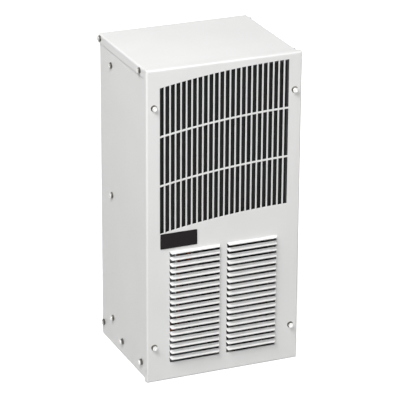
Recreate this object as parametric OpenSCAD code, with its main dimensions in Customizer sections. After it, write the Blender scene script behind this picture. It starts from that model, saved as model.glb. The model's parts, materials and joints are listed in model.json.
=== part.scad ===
// Compact compressor cooling unit that bolts to the wall of an electrical enclosure.
// +X is right seen from the front, +Y runs from the front cover to the enclosure, +Z is up.
// Depths are counted back from the front cover's outer face.

/* [Casing] */
// Width over the front cover
unit_w = 216; // [212:1:236]
// Height of the front cover
unit_h = 432; // [428:1:470]
// Depth from the front cover's face to the rear panel's face
unit_d = 173; // [171:1:195]
// Thickness of the casing sheet
sheet = 1.2; // [0.9:0.1:1.4]
// Outer radius of the folds in the sheet
bend_r = 2.6; // [2:0.1:3.2]
// Gap between the front cover and what it fits over
cover_gap = 0.4; // [0.3:0.1:0.8]
// Depth of the front cover's flange
cover_flange = 9; // [7:0.5:11]
// Height of the top cover's side flanges
lid_flange = 12; // [10:0.5:16]
// Gap between the front cover's flange and the top cover's side flanges
lid_setback = 1.5; // [1:0.1:3]
// Width of the side panels' folded edges
return_w = 14; // [12.5:0.5:15]
// Height of the notch at the foot of each side panel
notch_h = 20; // [18:1:26]
// Gap that the notch opens behind the front cover's flange
notch_gap = 2.2; // [1:0.1:4]

/* [Grille] */
// Width of a slot
slot_w = 5.3; // [4:0.1:6]
// Distance from one slot to the next
slot_pitch = 7.53; // [7:0.01:7.6]
// Number of slots side by side
slot_cols = 24; // [12:1:24]
// Number of rows of slots
slot_rows = 3; // [1:1:3]
// Length of a slot
slot_len = 64.3; // [50:0.1:65]
// Height of a bar between two rows
crossbar = 2.5; // [2:0.1:4]
// Radius of the arc that the slot ends follow
arc_r = 1070; // [800:10:3000]
// Distance of the arc's highest point from the middle, to the right
arc_apex_x = 97.4; // [60:0.1:100]
// Distance of the arc's highest point from the top
arc_drop = 8.6; // [8:0.1:14]

/* [Louvres] */
// Number of louvres in a bank
louvre_count = 18; // [4:1:18]
// Distance from one louvre to the next
louvre_pitch = 8.83; // [8.6:0.01:8.9]
// Length of a louvre at its fold
louvre_len = 72; // [50:1:76]
// Gap between the two banks
bank_gap = 8.7; // [6:0.1:14]
// Height of the cut under a louvre
louvre_cut = 8; // [7:0.1:8.1]
// Length of a louvre's blade, from its fold to its lip
louvre_blade = 6.7; // [5:0.1:7.4]
// Angle between a blade and the cover
louvre_angle = 56; // [35:1:65]
// How much a blade narrows at each end
louvre_taper = 2.3; // [1:0.1:4]
// Height of the top louvre's fold
louvre_top = 182.8; // [181:0.1:184]

/* [Plate] */
// Width of the plate
plate_w = 51.3; // [30:0.1:60]
// Height of the plate
plate_h = 21; // [12:0.5:21]
// Thickness of the plate
plate_t = 0.8; // [0.5:0.1:1]
// Distance of the plate from the cover's left edge
plate_left = 19; // [17:0.1:30]
// Height of the plate's lower edge
plate_z = 187.5; // [186:0.1:188]

/* [Screws] */
// Radius of the washer under a screw head
head_washer_r = 4.3; // [4:0.05:5]
// Height of the washer
head_washer_h = 0.8; // [0.6:0.1:1.2]
// Radius over the corners of a screw head's hexagon
head_r = 3.7; // [3.5:0.05:3.95]
// Height of a screw head
head_h = 3.4; // [3:0.1:4.2]
// Radius of a screw's shank
shank_r = 2.1; // [2:0.05:2.5]
// Length of a screw's shank
shank_len = 6.5; // [5:0.1:7]
// Distance of the front screws from the cover's side edges
front_screw_x = 10.5; // [10:0.1:11]
// Height of the lower front screws
front_screw_low = 50; // [40:1:80]
// Distance of the upper front screws from the top
front_screw_drop = 50.5; // [40:0.5:80]
// Depth of the front screw in each top cover flange
lid_screw_front = 27; // [22:1:40]
// Distance of the rear screw in each flange from the rear face
lid_screw_rear = 6; // [5.5:0.1:10]
// Distance of a flange screw from the top
lid_screw_drop = 7.3; // [7:0.1:8]
// Heights of the screws along the rear of each side panel
column_screw_z = [40, 218, 399];
// Height of the bottom row of screws
row_screw_z = 20; // [16:0.5:22]
// Depth of the first screw in the bottom row
row_screw_front = 26; // [22:1:34]
// Distance of the last screw in the bottom row from the rear face
row_screw_rear = 9; // [8:0.5:12]

/* [Partition and mounting] */
// Distance of the partition's front face from the rear face
partition_back = 50; // [49:0.5:54]
// Thickness of the partition's insulation
foam_t = 8; // [6:0.5:9]
// Thickness of the mounting gasket
gasket_t = 6; // [5.5:0.5:8]
// Width of the gasket's strips
gasket_w = 10; // [8:0.5:11]
// Radius of the mounting nuts' bore, before the thread
nut_bore_r = 2.5; // [2:0.1:3]
// Radius of the mounting nuts' body
nut_body_r = 4.5; // [4:0.1:5]
// Distance of the mounting nuts from the casing's sides
mount_inset = 24; // [22:0.5:28]
// Height of the lower mounting nuts
mount_low = 20; // [19:0.5:24]
// Distance of the upper mounting nuts from the top
mount_drop = 20; // [19.5:0.5:24]

/* [Coils] */
// Number of tube rows in each coil
coil_rows = 9; // [3:2:9]
// Distance between the condenser's tube rows
condenser_pitch = 24; // [20:0.5:24]
// Depth of the condenser's fins
condenser_depth = 36; // [30:1:37]
// Distance between the condenser's two columns of tubes
condenser_column = 18; // [14:0.5:19]
// Outer radius of the condenser's tube
condenser_tube_r = 4; // [3:0.25:4.5]
// Distance between the evaporator's tube rows
evaporator_pitch = 22; // [18:0.5:22]
// Depth of the evaporator's fins
evaporator_depth = 26; // [22:0.5:27]
// Distance between the evaporator's two columns of tubes
evaporator_column = 13; // [11:0.5:14]
// Outer radius of the evaporator's tube
evaporator_tube_r = 3.5; // [3:0.25:3.75]
// Distance between fins
fin_pitch = 5; // [4:0.5:8]
// Thickness of a fin
fin_t = 0.5; // [0.3:0.05:0.6]

/* [Fans] */
// Bore radius of the condenser fan's ring
condenser_bore_r = 77; // [70:0.5:77]
// Length of the condenser fan
condenser_fan_len = 38; // [36:0.5:40]
// Hub radius of the condenser fan
condenser_hub_r = 30; // [26:0.5:34]
// Bore radius of the evaporator fan's frame
evaporator_bore_r = 57; // [52:0.5:57]
// Length of the evaporator fan
evaporator_fan_len = 25; // [24:0.5:26]
// Side of the evaporator fan's square frame
evaporator_fan_side = 119; // [118:0.5:120]
// Hub radius of the evaporator fan
evaporator_hub_r = 21; // [19:0.5:24]
// Distance between the evaporator fan's screws
evaporator_fan_holes = 105; // [103:0.5:105.5]
// Number of blades on each impeller
blade_count = 7; // [5:1:8]
// Thickness of a blade
blade_t = 1.8; // [1.4:0.1:2.2]
// Gap between the blade tips and the bore
tip_gap = 2; // [1.5:0.1:3]

/* [Compressor] */
// Radius of the compressor's shell
shell_r = 46; // [40:0.5:47]
// Height of the shell's straight wall
shell_wall = 110; // [90:1:112]
// Height of each domed end
dome_h = 17; // [14:0.5:20]
// Distance of the compressor's axis from the middle, to the right
compressor_x = 42; // [40:0.5:44]
// Radius of the circle of the three feet
foot_circle_r = 51.5; // [51:0.5:52]
// Radius of the accumulator
accumulator_r = 17; // [14:0.5:17.5]
// Length of the accumulator
accumulator_len = 80; // [60:1:84]

/* [Controls] */
// Width of the control box
box_w = 55; // [50:1:55]
// Depth of the control box
box_d = 72; // [60:1:74]
// Height of the control box
box_h = 120; // [112:1:122]
// Radius of the thermostat knob
knob_r = 12; // [9:0.5:12]
// Height of the thermostat knob
knob_h = 5; // [4:0.1:5]
// Radius of the thermostat's shaft
thermostat_shaft_r = 3; // [2.5:0.1:3.5]

/* [Hidden] */
$fn = 64;

// Overrun of every cut past the face that it opens
overrun = 1;
// Clearance between pieces that lie beside each other
clear = 0.3;
// Clearance of a piece that is pushed into a hole
snug = 0.05;
// Radial clearance of a shaft that turns in its bore
running = 0.05;

// How far the louvres stand out, and the front face's place that centres the unit
louvre_out = louvre_blade * sin(louvre_angle) - sheet / 2 * (1 - cos(louvre_angle));
place_step = 0.01;
front_y = -round((unit_d + gasket_t - louvre_out) / 2 / place_step) * place_step;
rear_d = unit_d - sheet;

// Faces of the casing's sheets
lid_x = unit_w / 2 - sheet - cover_gap;
side_x = lid_x - sheet;
inner_x = side_x - sheet;
base_z = sheet + cover_gap;
floor_z = base_z + sheet;
lid_z = unit_h - sheet - cover_gap;
roof_z = lid_z - sheet;
return_d = 2 * sheet;
return_x = side_x - return_w;
lid_start = cover_flange + lid_setback;
panel_top = roof_z - bend_r + sheet;
notch_d = cover_flange + notch_gap;

// Flanges of the base pan and the pads pressed into its floor
base_front_h = 18;
base_side_h = 30;
base_rear_h = 8;
pad_r = 10;
pad_inset = 24;
base_end = rear_d - sheet;

// Partition and the flanges that its side screws hold
partition_d = unit_d - partition_back;
partition_flange = 14;
partition_web_x = inner_x - sheet - clear;
partition_low = base_z + base_side_h + clear;
partition_high = roof_z - lid_flange;
column_screw_d = partition_d + partition_flange / 2;
foam_x = side_x - shank_len - clear;
foam_d = partition_d + sheet;
foam_back = foam_d + foam_t;

// Filter behind the grille
filter_t = 6.5;
filter_rim = 6;
filter_lap = 2.8;
filter_d = return_d + clear;
filter_x = side_x - return_w + filter_lap;
filter_drop = 3;
filter_top = roof_z - filter_drop;
filter_lip = 1;

// Shelf and plate that carry the condenser and its fan
shelf_rise = 13.2;
shroud_flange = 13;
shelf_z = louvre_top + shelf_rise;
coil_z = shelf_z + sheet;
condenser_d = filter_d + filter_t + clear;
shroud_d = condenser_d + condenser_depth + clear;
shroud_back = shroud_d + sheet;
shroud_top = roof_z - clear;
shroud_lip = 2;

// Condenser coil
coil_stub = 2;
coil_reach = inner_x - sheet - shroud_lip;
condenser_half = coil_reach - condenser_pitch / 2 - condenser_tube_r - coil_stub - sheet;
condenser_h = coil_rows * condenser_pitch;
condenser_mid = condenser_d + condenser_depth / 2;
condenser_port_z = coil_z + condenser_pitch / 2;
condenser_port_x = -condenser_half - sheet - coil_stub;

// Evaporator coil and the tray under it
tray_rise = 32;
tray_gap = 6;
tray_z = floor_z + tray_rise;
tray_h = 15;
tray_x = inner_x - tray_gap;
tray_t = 1.5;
tray_back = rear_d - sheet;
evaporator_z = tray_z + tray_h;
evaporator_back = rear_d - clear;
evaporator_d = evaporator_back - evaporator_depth;
evaporator_half = coil_reach - evaporator_pitch / 2 - evaporator_tube_r - coil_stub - sheet;
evaporator_h = coil_rows * evaporator_pitch;
evaporator_mid = evaporator_d + evaporator_depth / 2;
evaporator_port_z = evaporator_z + evaporator_h - evaporator_pitch / 2;
evaporator_port_x = -evaporator_half - sheet - coil_stub;

// Drain under the tray
drain_inset = 48;
drain_x = unit_w / 2 - drain_inset;
drain_d = evaporator_mid;
drain_r = 5;
drain_bore_r = 3.5;
drain_flange_r = 8;
drain_flange_t = 1.2;

// Fans: places of their axes, and what both share
condenser_fan_z = coil_z + condenser_h / 2;
evaporator_fan_drop = 24;
evaporator_fan_z = roof_z - evaporator_fan_side / 2 - evaporator_fan_drop;
shaft_r = 2.5;
bearing_r = 5;
bearing_len = 4;
bearing_tube_r = 7;
spider_t = 3;
hub_wall = 2;
hub_gap = 1.2;
lug_r = 6;
fan_screw_r = 2;
fan_screw_hole_r = 2.2;
fan_screw_slot = 1;
fan_slot_deep = 0.9;
fan_head_r = 3.6;
fan_head_h = 2.2;
condenser_ring_t = 3;
condenser_lip = 9;
lug_gap = 2;
lug_t = 4;
condenser_screw_at = condenser_bore_r + lug_r + lug_gap;
evaporator_screw_x = evaporator_fan_holes / 2;
evaporator_screw_len = 15;
fan_nose = 1.5;
fan_corner_r = 4;
fan_flange_t = 4;
fan_ring_t = 2;
fan_boss_r = 5;
arm_w = 5;
spider_fit = 0.1;
arm_count = 4;
shaft_short = 0.5;
blade_inset = 1;
blade_pitch = 38;
blade_camber_share = 1.2;
stator_poles = 6;
stator_slot_share = 0.3;
tube_start = fan_nose + hub_wall + hub_gap;

// Rear panel's openings and what is fixed in them
return_hole_r = evaporator_bore_r + clear;
supply_side = 6;
supply_edge = 8;
supply_x = evaporator_half - supply_side;
supply_low = evaporator_z + supply_edge;
supply_high = evaporator_z + evaporator_h - supply_edge;
supply_corner = 6;
control_inset = 30;
control_x = unit_w / 2 - control_inset;
knob_drop = 46;
inlet_rise = 2;
knob_z = evaporator_fan_z - knob_drop;
inlet_z = evaporator_fan_z + inlet_rise;
inlet_r = 8;
inlet_flange_r = 11;
inlet_flange_t = 2;
inlet_bore_r = 5.5;
inlet_len = 10;
gasket_edge = 1.4;
gasket_x = side_x - bend_r - gasket_edge;
gasket_low = base_z + gasket_edge;
gasket_high = roof_z - gasket_edge;
gasket_bar_rise = 14;
gasket_bar_z = evaporator_z + evaporator_h + gasket_bar_rise;
guard_wire_r = 1;
guard_rings = 4;
guard_lap = 1.5;
guard_rise = 1.6;
guard_cap_r = 7;
guard_cap_t = 2;
guard_hub_r = 4;
guard_eye_r = 4.6;
guard_eye_t = 1.6;
nut_flange_r = 5.6;
nut_flange_t = 0.8;
nut_len = 13;
mount_x = unit_w / 2 - mount_inset;
mount_high = unit_h - mount_drop;

// Compressor, its feet and the accumulator beside it
compressor_d = (return_d + partition_d) / 2;
grommet_r = 8;
grommet_h = 10.2;
grommet_waist_r = 5.8;
grommet_bore_r = 3.2;
grommet_collar = 2;
foot_t = 3;
foot_z = floor_z + grommet_h;
foot_disc_r = 38;
foot_lobe_r = 8;
foot_arm_w = 14;
bolt_r = 3;
bolt_over = 2.5;
washer_r = 7;
washer_t = 1.2;
bolt_nut_r = 5.5;
bolt_nut_h = 5;
washer_z = foot_z + foot_t + grommet_collar;
shell_z = foot_z;
shell_top = shell_z + 2 * dome_h + shell_wall;
shoulder_r = 12;
shoulder_x = shell_r - shoulder_r;
crown_r = (shoulder_x * shoulder_x + dome_h * dome_h - shoulder_r * shoulder_r) / (2 * (dome_h - shoulder_r));
crown_x = shoulder_x * crown_r / (crown_r - shoulder_r);
foot_hole_r = sqrt(crown_r * crown_r - (crown_r - foot_t) * (crown_r - foot_t)) + snug;
seam_r = 1.2;
seam_h = 3;
stub_wall = 0.8;
stub_r = condenser_tube_r + stub_wall;
stub_h = 8;
boss_h = 2;
cap_r = 10;
cap_h = 12;
cap_round = 2;
cap_x = compressor_x + stub_r + clear + cap_r;
strap_t = 3;
strap_w = 12;
strap_h = 16;
accumulator_x = compressor_x - shell_r - strap_t - accumulator_r;
accumulator_rise = 50;
accumulator_z = floor_z + accumulator_rise;
accumulator_top = accumulator_z + accumulator_len;
accumulator_end = 8;
accumulator_neck = 6;
inlet_stub_rise = 4;
inlet_stub_len = 3;
inlet_stub_z = shell_z + dome_h + inlet_stub_rise;

// Refrigerant lines: centre radius of their bends and the runs they follow
line_bend = 8;
line_x = condenser_port_x - line_bend - clear;
liquid_d = condenser_mid - condenser_column / 2;
discharge_d = condenser_mid + condenser_column / 2;
discharge_drop = 16;
discharge_z = shelf_z - discharge_drop;
suction_x = evaporator_port_x - line_bend - clear;
suction_d = evaporator_mid - evaporator_column / 2;
suction_rise = 38;
suction_gap = 15;
suction_z = evaporator_port_z + suction_rise;
suction_drop_d = partition_d - suction_gap;
suction_low_z = discharge_z - line_bend;
line_hole_gap = 1.5;
drier_r = 9.5;
drier_len = 62;
drier_neck = 6;
drier_drop = 24;
drier_top = shelf_z - drier_drop;
drier_end = 5;
capillary_r = 1.2;
capillary_bend = 2.5;
capillary_turns = 3;
capillary_step = 6;
capillary_d = evaporator_mid + evaporator_column / 2;
capillary_low_d = 8;
capillary_high_d = 28;
capillary_w = 31;
capillary_gap = 10;
capillary_side_gap = 4.3;
capillary_start = 24;
capillary_top_z = drier_top - drier_len - drier_neck - capillary_start;
capillary_right_x = line_x + capillary_w;
capillary_riser_x = capillary_right_x + capillary_gap;
capillary_side_x = capillary_side_gap + sheet - inner_x;
capillary_cross_d = suction_drop_d - capillary_gap;
capillary_cross_z = discharge_z - condenser_tube_r - line_bend;
capillary_over_z = suction_z + capillary_gap + capillary_r;
capillary_hole_r = 2;

// Control box and what it holds
box_gap = 3;
box_rise = 37;
box_x = box_gap - inner_x;
box_z = floor_z + box_rise;
box_front_d = partition_d - box_d;
box_back_d = partition_d - sheet;
capacitor_r = 15;
capacitor_h = 48;
capacitor_blade = 6;
capacitor_blade_t = 0.8;
relay_w = 28;
relay_d = 24;
relay_h = 30;
relay_tab = 5;
block_w = 42;
block_d = 16;
block_h = 18;
block_poles = 4;
block_rib = 1.5;
block_deep = 8;
block_screw_r = 2.5;
thermostat_w = 24;
thermostat_h = 30;
thermostat_d = 18;
thermostat_collar_r = 5;
knob_gap = 0.3;
knob_wall = 1.5;
knob_end = 0.2;
knob_flute_r = 2;
knob_flutes = 12;
knob_mark_w = 1.2;
knob_mark_deep = 0.6;

// Colours
paint = "#dcdbd9";
dark = "#232124";
zinc = "#b9babb";
copper = "#b87333";
alloy = "#c9ccd0";

// Both coils' spans in depth, and their two columns of tubes
condenser_span = [condenser_d, condenser_d + condenser_depth];
condenser_columns = [condenser_mid, condenser_column];
evaporator_span = [evaporator_d, evaporator_back];
evaporator_columns = [evaporator_mid, evaporator_column];

// Box between two places across, in depth and in height
module slab(x, d, z) {
    translate([x[0], front_y + d[0], z[0]]) cube([x[1] - x[0], d[1] - d[0], z[1] - z[0]]);
}

// Round bar along the depth, across and upright
module rod_d(x, d, z, r) {
    translate([x, front_y + d[0], z]) rotate([-90, 0, 0]) cylinder(r = r, h = d[1] - d[0]);
}
module rod_x(x, d, z, r) {
    translate([x[0], front_y + d, z]) rotate([0, 90, 0]) cylinder(r = r, h = x[1] - x[0]);
}
module rod_z(x, d, z, r) {
    translate([x, front_y + d, z[0]]) cylinder(r = r, h = z[1] - z[0]);
}

// Rectangle whose listed corners, [0 or 1, 0 or 1], are round
module round_rect(low, high, r, corners) {
    difference() {
        translate(low) square(high - low);
        for (c = corners) difference() {
            corner = [c[0] ? high[0] : low[0], c[1] ? high[1] : low[1]];
            middle = corner + [c[0] ? -r : r, c[1] ? -r : r];
            translate([min(corner[0], middle[0]), min(corner[1], middle[1])]) square(r);
            translate(middle) circle(r);
        }
    }
}

// Prisms whose outlines lie in plan, from the side (depth, height) and from the front
module plan_prism(z) { translate([0, front_y, z[0]]) linear_extrude(z[1] - z[0]) children(); }
module side_prism(x) {
    translate([x[0], front_y, 0]) rotate([90, 0, 90]) linear_extrude(x[1] - x[0]) children();
}
module front_prism(d) {
    translate([0, front_y + d[1], 0]) rotate([90, 0, 0]) linear_extrude(d[1] - d[0]) children();
}

// Both signs of a mirrored pair
module both_sides() {
    children();
    mirror([1, 0, 0]) children();
}

// Straight run and bend of a line, and a whole line through its corner points
function unit(v) = v / norm(v);
function square_to(v) = unit(cross(v, abs(v[2]) < 0.9 * norm(v) ? [0, 0, 1] : [1, 0, 0]));
function turn_at(p, i) = acos(unit(p[i] - p[i - 1]) * unit(p[i + 1] - p[i]));
function trim_at(p, i, bend) = i == 0 || i == len(p) - 1 ? 0 : bend * tan(turn_at(p, i) / 2);
module framed(o, ex, ey, ez) {
    multmatrix([
        [ex[0], ey[0], ez[0], o[0]], [ex[1], ey[1], ez[1], o[1]], [ex[2], ey[2], ez[2], o[2]],
        [0, 0, 0, 1]
    ]) children();
}
module run(a, b, r) {
    ez = unit(b - a);
    ex = square_to(ez);
    framed(a, ex, cross(ez, ex), ez) cylinder(r = r, h = norm(b - a));
}
module bend_at(p, i, r, bend) {
    u = unit(p[i] - p[i - 1]);
    v = unit(p[i + 1] - p[i]);
    n = unit(v - (u * v) * u);
    start = p[i] - u * trim_at(p, i, bend);
    framed(start + n * bend, -n, u, cross(-n, u))
        rotate_extrude(angle = turn_at(p, i)) translate([bend, 0]) circle(r);
}
module line(points, r, bend) {
    p = [for (q = points) [q[0], front_y + q[1], q[2]]];
    for (i = [1 : len(p) - 2]) bend_at(p, i, r, bend);
    for (i = [0 : len(p) - 2]) {
        u = unit(p[i + 1] - p[i]);
        run(p[i] + u * trim_at(p, i, bend), p[i + 1] - u * trim_at(p, i + 1, bend), r);
    }
}

// Hexagon washer-head screw pointing down its own -Z, its seat at z = 0
module screw() {
    cylinder(r = head_r, h = head_h, $fn = 6);
    cylinder(r = head_washer_r, h = head_washer_h);
    translate([0, 0, -shank_len]) cylinder(r = shank_r, h = shank_len + head_washer_h / 2);
}

// Places of the screws on the right-hand side
function front_screw_at() = [front_screw_low, unit_h - front_screw_drop];
function lid_screw_d() = [lid_screw_front, unit_d - lid_screw_rear];
function row_screw_d() = [
    row_screw_front, (row_screw_front + unit_d - row_screw_rear) / 2, unit_d - row_screw_rear
];

// Front cover: folded pan with the slotted grille and the lanced louvres
function louvre_x(side) = side * (louvre_len + bank_gap) / 2;
function slot_left(i) = (i - slot_cols / 2) * slot_pitch + (slot_pitch - slot_w) / 2;
module slot_outline(row) {
    top = unit_h - arc_drop - arc_r - row * (slot_len + crossbar);
    intersection() {
        for (i = [0 : slot_cols - 1]) translate([slot_left(i), louvre_top]) square([slot_w, unit_h]);
        difference() {
            translate([arc_apex_x, top]) circle(arc_r, $fn = 720);
            translate([arc_apex_x, top - slot_len]) circle(arc_r, $fn = 720);
        }
    }
}
module cover_block(inset, back) {
    half = unit_w / 2 - inset;
    r = bend_r - inset;
    intersection() {
        plan_prism([inset, unit_h - inset])
            round_rect([-half, inset], [half, back], r, [[0, 0], [1, 0]]);
        side_prism([-half, half])
            round_rect([inset, inset], [back, unit_h - inset], r, [[0, 0], [0, 1]]);
    }
}
module louvre_shape(h) {
    half = louvre_len / 2;
    polygon([[-half, 0], [half, 0], [half - louvre_taper, -h], [louvre_taper - half, -h]]);
}
module front_cover() color(paint) difference() {
    union() {
        difference() {
            cover_block(0, cover_flange);
            cover_block(sheet, cover_flange + overrun);
            for (row = [0 : slot_rows - 1]) front_prism([-overrun, sheet + overrun]) slot_outline(row);
            for (s = [-1, 1], i = [0 : louvre_count - 1])
                translate([louvre_x(s), 0, louvre_top - i * louvre_pitch])
                    front_prism([-overrun, sheet + overrun]) louvre_shape(louvre_cut);
        }
        for (s = [-1, 1], i = [0 : louvre_count - 1])
            translate([louvre_x(s), front_y + sheet / 2, louvre_top - i * louvre_pitch]) {
                rotate([90 - louvre_angle, 0, 0])
                    linear_extrude(sheet, center = true) louvre_shape(louvre_blade);
                translate([-louvre_len / 2, 0, 0]) rotate([0, 90, 0])
                    cylinder(r = sheet / 2, h = louvre_len, $fn = 24);
            }
    }
    both_sides() for (z = front_screw_at())
        rod_d(unit_w / 2 - front_screw_x, [-overrun, sheet + overrun], z, shank_r + clear);
}

module nameplate() color(dark) {
    slab([plate_left - unit_w / 2, plate_left + plate_w - unit_w / 2], [-plate_t, 0],
        [plate_z, plate_z + plate_h]);
}

// Top cover: sheet with side flanges and a short lip behind the grille
module lid_block(half, d, z) {
    r = bend_r - (lid_x - half);
    intersection() {
        front_prism(d) round_rect([-half, z[0]], [half, z[1]], r, [[0, 1], [1, 1]]);
        side_prism([-half, half]) round_rect([d[0], z[0]], [d[1], z[1]], r, [[0, 1]]);
    }
}
module top_cover() color(paint) {
    low = lid_z - lid_flange;
    lip_h = arc_drop - cover_gap - 2 * sheet;
    difference() {
        lid_block(lid_x, [sheet, unit_d], [low, lid_z]);
        lid_block(side_x, [2 * sheet, unit_d + overrun], [low - overrun, roof_z]);
        slab([-unit_w, unit_w], [0, lid_start], [low - overrun, lid_z - lip_h]);
        both_sides() slab([return_x - clear, unit_w], [0, lid_start], [low - overrun, roof_z]);
        both_sides() for (d = lid_screw_d())
            rod_x([side_x - overrun, lid_x + overrun], d, unit_h - lid_screw_drop, shank_r + clear);
    }
}

// Side panel: channel with a folded edge at the front and at the rear
module side_panel() color(paint) difference() {
    plan_prism([base_z, panel_top]) difference() {
        round_rect([return_x, sheet], [side_x, rear_d], bend_r, [[1, 0], [1, 1]]);
        round_rect([return_x - overrun, return_d], [inner_x, rear_d - sheet], bend_r - sheet,
            [[1, 0], [1, 1]]);
    }
    slab([return_x - overrun, unit_w], [0, notch_d], [0, base_z + notch_h]);
    for (z = front_screw_at())
        rod_d(unit_w / 2 - front_screw_x, [0, return_d + overrun], z, shank_r + snug);
    for (d = lid_screw_d())
        rod_x([inner_x - overrun, side_x + overrun], d, unit_h - lid_screw_drop, shank_r + snug);
    for (z = column_screw_z)
        rod_x([inner_x - overrun, side_x + overrun], column_screw_d, z, shank_r + clear);
    for (d = row_screw_d())
        rod_x([inner_x - overrun, side_x + overrun], d, row_screw_z, shank_r + clear);
}
module right_side_panel() side_panel();
module left_side_panel() mirror([1, 0, 0]) side_panel();

module rear_panel() color(alloy) {
    half = side_x - bend_r;
    difference() {
        slab([-half, half], [rear_d, unit_d], [base_z, roof_z]);
        rod_d(0, [rear_d - overrun, unit_d + overrun], evaporator_fan_z, return_hole_r);
        front_prism([rear_d - overrun, unit_d + overrun]) round_rect([-supply_x, supply_low],
            [supply_x, supply_high], supply_corner, [[0, 0], [0, 1], [1, 0], [1, 1]]);
        for (x = [-1, 1], z = [-1, 1])
            rod_d(x * evaporator_screw_x, [rear_d - overrun, unit_d + overrun],
                evaporator_fan_z + z * evaporator_screw_x, fan_screw_hole_r);
        for (x = [-mount_x, mount_x], z = [mount_low, mount_high])
            rod_d(x, [rear_d - overrun, unit_d + overrun], z, nut_body_r + snug);
        rod_d(control_x, [rear_d - overrun, unit_d + overrun], knob_z, thermostat_collar_r + snug);
        rod_d(control_x, [rear_d - overrun, unit_d + overrun], inlet_z, inlet_r + snug);
    }
}

// Base pan: tray with four pads pressed down level with the front cover's lower edge
module base_block(half, d, z) {
    r = bend_r - (inner_x - half);
    intersection() {
        front_prism(d) round_rect([-half, z[0]], [half, z[1]], r, [[0, 0], [1, 0]]);
        side_prism([-half, half]) round_rect([d[0], z[0]], [d[1], z[1]], r, [[0, 0], [1, 0]]);
    }
}
module base_pan() color(alloy) {
    high = base_z + base_side_h;
    difference() {
        union() {
            difference() {
                base_block(inner_x, [sheet, base_end], [base_z, high]);
                base_block(inner_x - sheet, [return_d, base_end - sheet], [floor_z, high + overrun]);
            }
            for (x = [-1, 1], d = [pad_inset, base_end - pad_inset])
                rod_z(x * (inner_x - pad_inset), d, [0, floor_z], pad_r);
        }
        for (x = [-1, 1], d = [pad_inset, base_end - pad_inset])
            rod_z(x * (inner_x - pad_inset), d, [sheet, floor_z + overrun], pad_r - sheet);
        slab([-unit_w, unit_w], [0, return_d + clear], [base_z + base_front_h, high + overrun]);
        slab([-unit_w, unit_w], [base_end - sheet - clear, unit_d], [base_z + base_rear_h, high + overrun]);
        rod_z(drain_x, drain_d, [0, floor_z + overrun], drain_r + clear);
        both_sides() for (d = row_screw_d())
            rod_x([inner_x - sheet - overrun, unit_w], d, row_screw_z, shank_r + snug);
    }
}

// Partition between the two air circuits: web with a flange along each side
module partition() color(alloy) difference() {
    union() {
        slab([-partition_web_x, partition_web_x], [partition_d, partition_d + sheet], [floor_z, roof_z]);
        plan_prism([partition_low, partition_high]) difference() {
            round_rect([-inner_x, partition_d], [inner_x, partition_d + partition_flange], bend_r,
                [[0, 0], [1, 0]]);
            round_rect([sheet - inner_x, foam_d], [inner_x - sheet, partition_d + partition_flange + overrun],
                bend_r - sheet, [[0, 0], [1, 0]]);
        }
    }
    both_sides() for (z = column_screw_z)
        rod_x([inner_x - sheet - overrun, unit_w], column_screw_d, z, shank_r + snug);
    rod_d(suction_x, [partition_d - overrun, foam_d + overrun], suction_z, evaporator_tube_r + line_hole_gap);
    rod_d(capillary_side_x, [partition_d - overrun, foam_d + overrun], capillary_over_z, capillary_hole_r);
}

module partition_insulation() color(dark) difference() {
    slab([-foam_x, foam_x], [foam_d, foam_back], [floor_z, roof_z]);
    rod_d(suction_x, [foam_d - overrun, foam_back + overrun], suction_z, evaporator_tube_r + line_hole_gap);
    rod_d(capillary_side_x, [foam_d - overrun, foam_back + overrun], capillary_over_z, capillary_hole_r);
}

// Gasket round the whole rear panel, with a bar between the two air openings
module mounting_gasket() color(dark) difference() {
    slab([-gasket_x, gasket_x], [unit_d, unit_d + gasket_t], [gasket_low, gasket_high]);
    slab([gasket_w - gasket_x, gasket_x - gasket_w], [unit_d - overrun, unit_d + gasket_t + overrun],
        [gasket_low + gasket_w, gasket_bar_z]);
    slab([gasket_w - gasket_x, gasket_x - gasket_w], [unit_d - overrun, unit_d + gasket_t + overrun],
        [gasket_bar_z + gasket_w, gasket_high - gasket_w]);
}

module mounting_nuts() color(zinc) for (x = [-mount_x, mount_x], z = [mount_low, mount_high]) difference() {
    union() {
        rod_d(x, [unit_d, unit_d + nut_flange_t], z, nut_flange_r);
        rod_d(x, [unit_d - nut_len, unit_d], z, nut_body_r);
    }
    rod_d(x, [unit_d - nut_len - overrun, unit_d + nut_flange_t + overrun], z, nut_bore_r);
}

module front_screws() color(zinc) both_sides() for (z = front_screw_at())
    translate([unit_w / 2 - front_screw_x, front_y, z]) rotate([90, 0, 0]) screw();
module top_screws() color(zinc) both_sides() for (d = lid_screw_d())
    translate([lid_x, front_y + d, unit_h - lid_screw_drop]) rotate([0, 90, 0]) screw();
module side_screws() color(zinc) both_sides() {
    for (z = column_screw_z) translate([side_x, front_y + column_screw_d, z]) rotate([0, 90, 0]) screw();
    for (d = row_screw_d()) translate([side_x, front_y + d, row_screw_z]) rotate([0, 90, 0]) screw();
}

// Filter: frame with a rebate, and the pad that lies in it
module filter_window(inset, d) {
    slab([inset - filter_x, filter_x - inset], d, [coil_z + inset, filter_top - inset]);
}
module filter_frame() color(dark) difference() {
    filter_window(0, [filter_d, filter_d + filter_t]);
    filter_window(filter_rim, [filter_d - overrun, filter_d + filter_t + overrun]);
    filter_window(filter_rim / 2, [filter_d + filter_lip, filter_d + filter_t + overrun]);
}
module filter_pad() color(dark) {
    filter_window(filter_rim / 2 + snug, [filter_d + filter_lip, filter_d + filter_t - filter_lip]);
}

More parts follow.
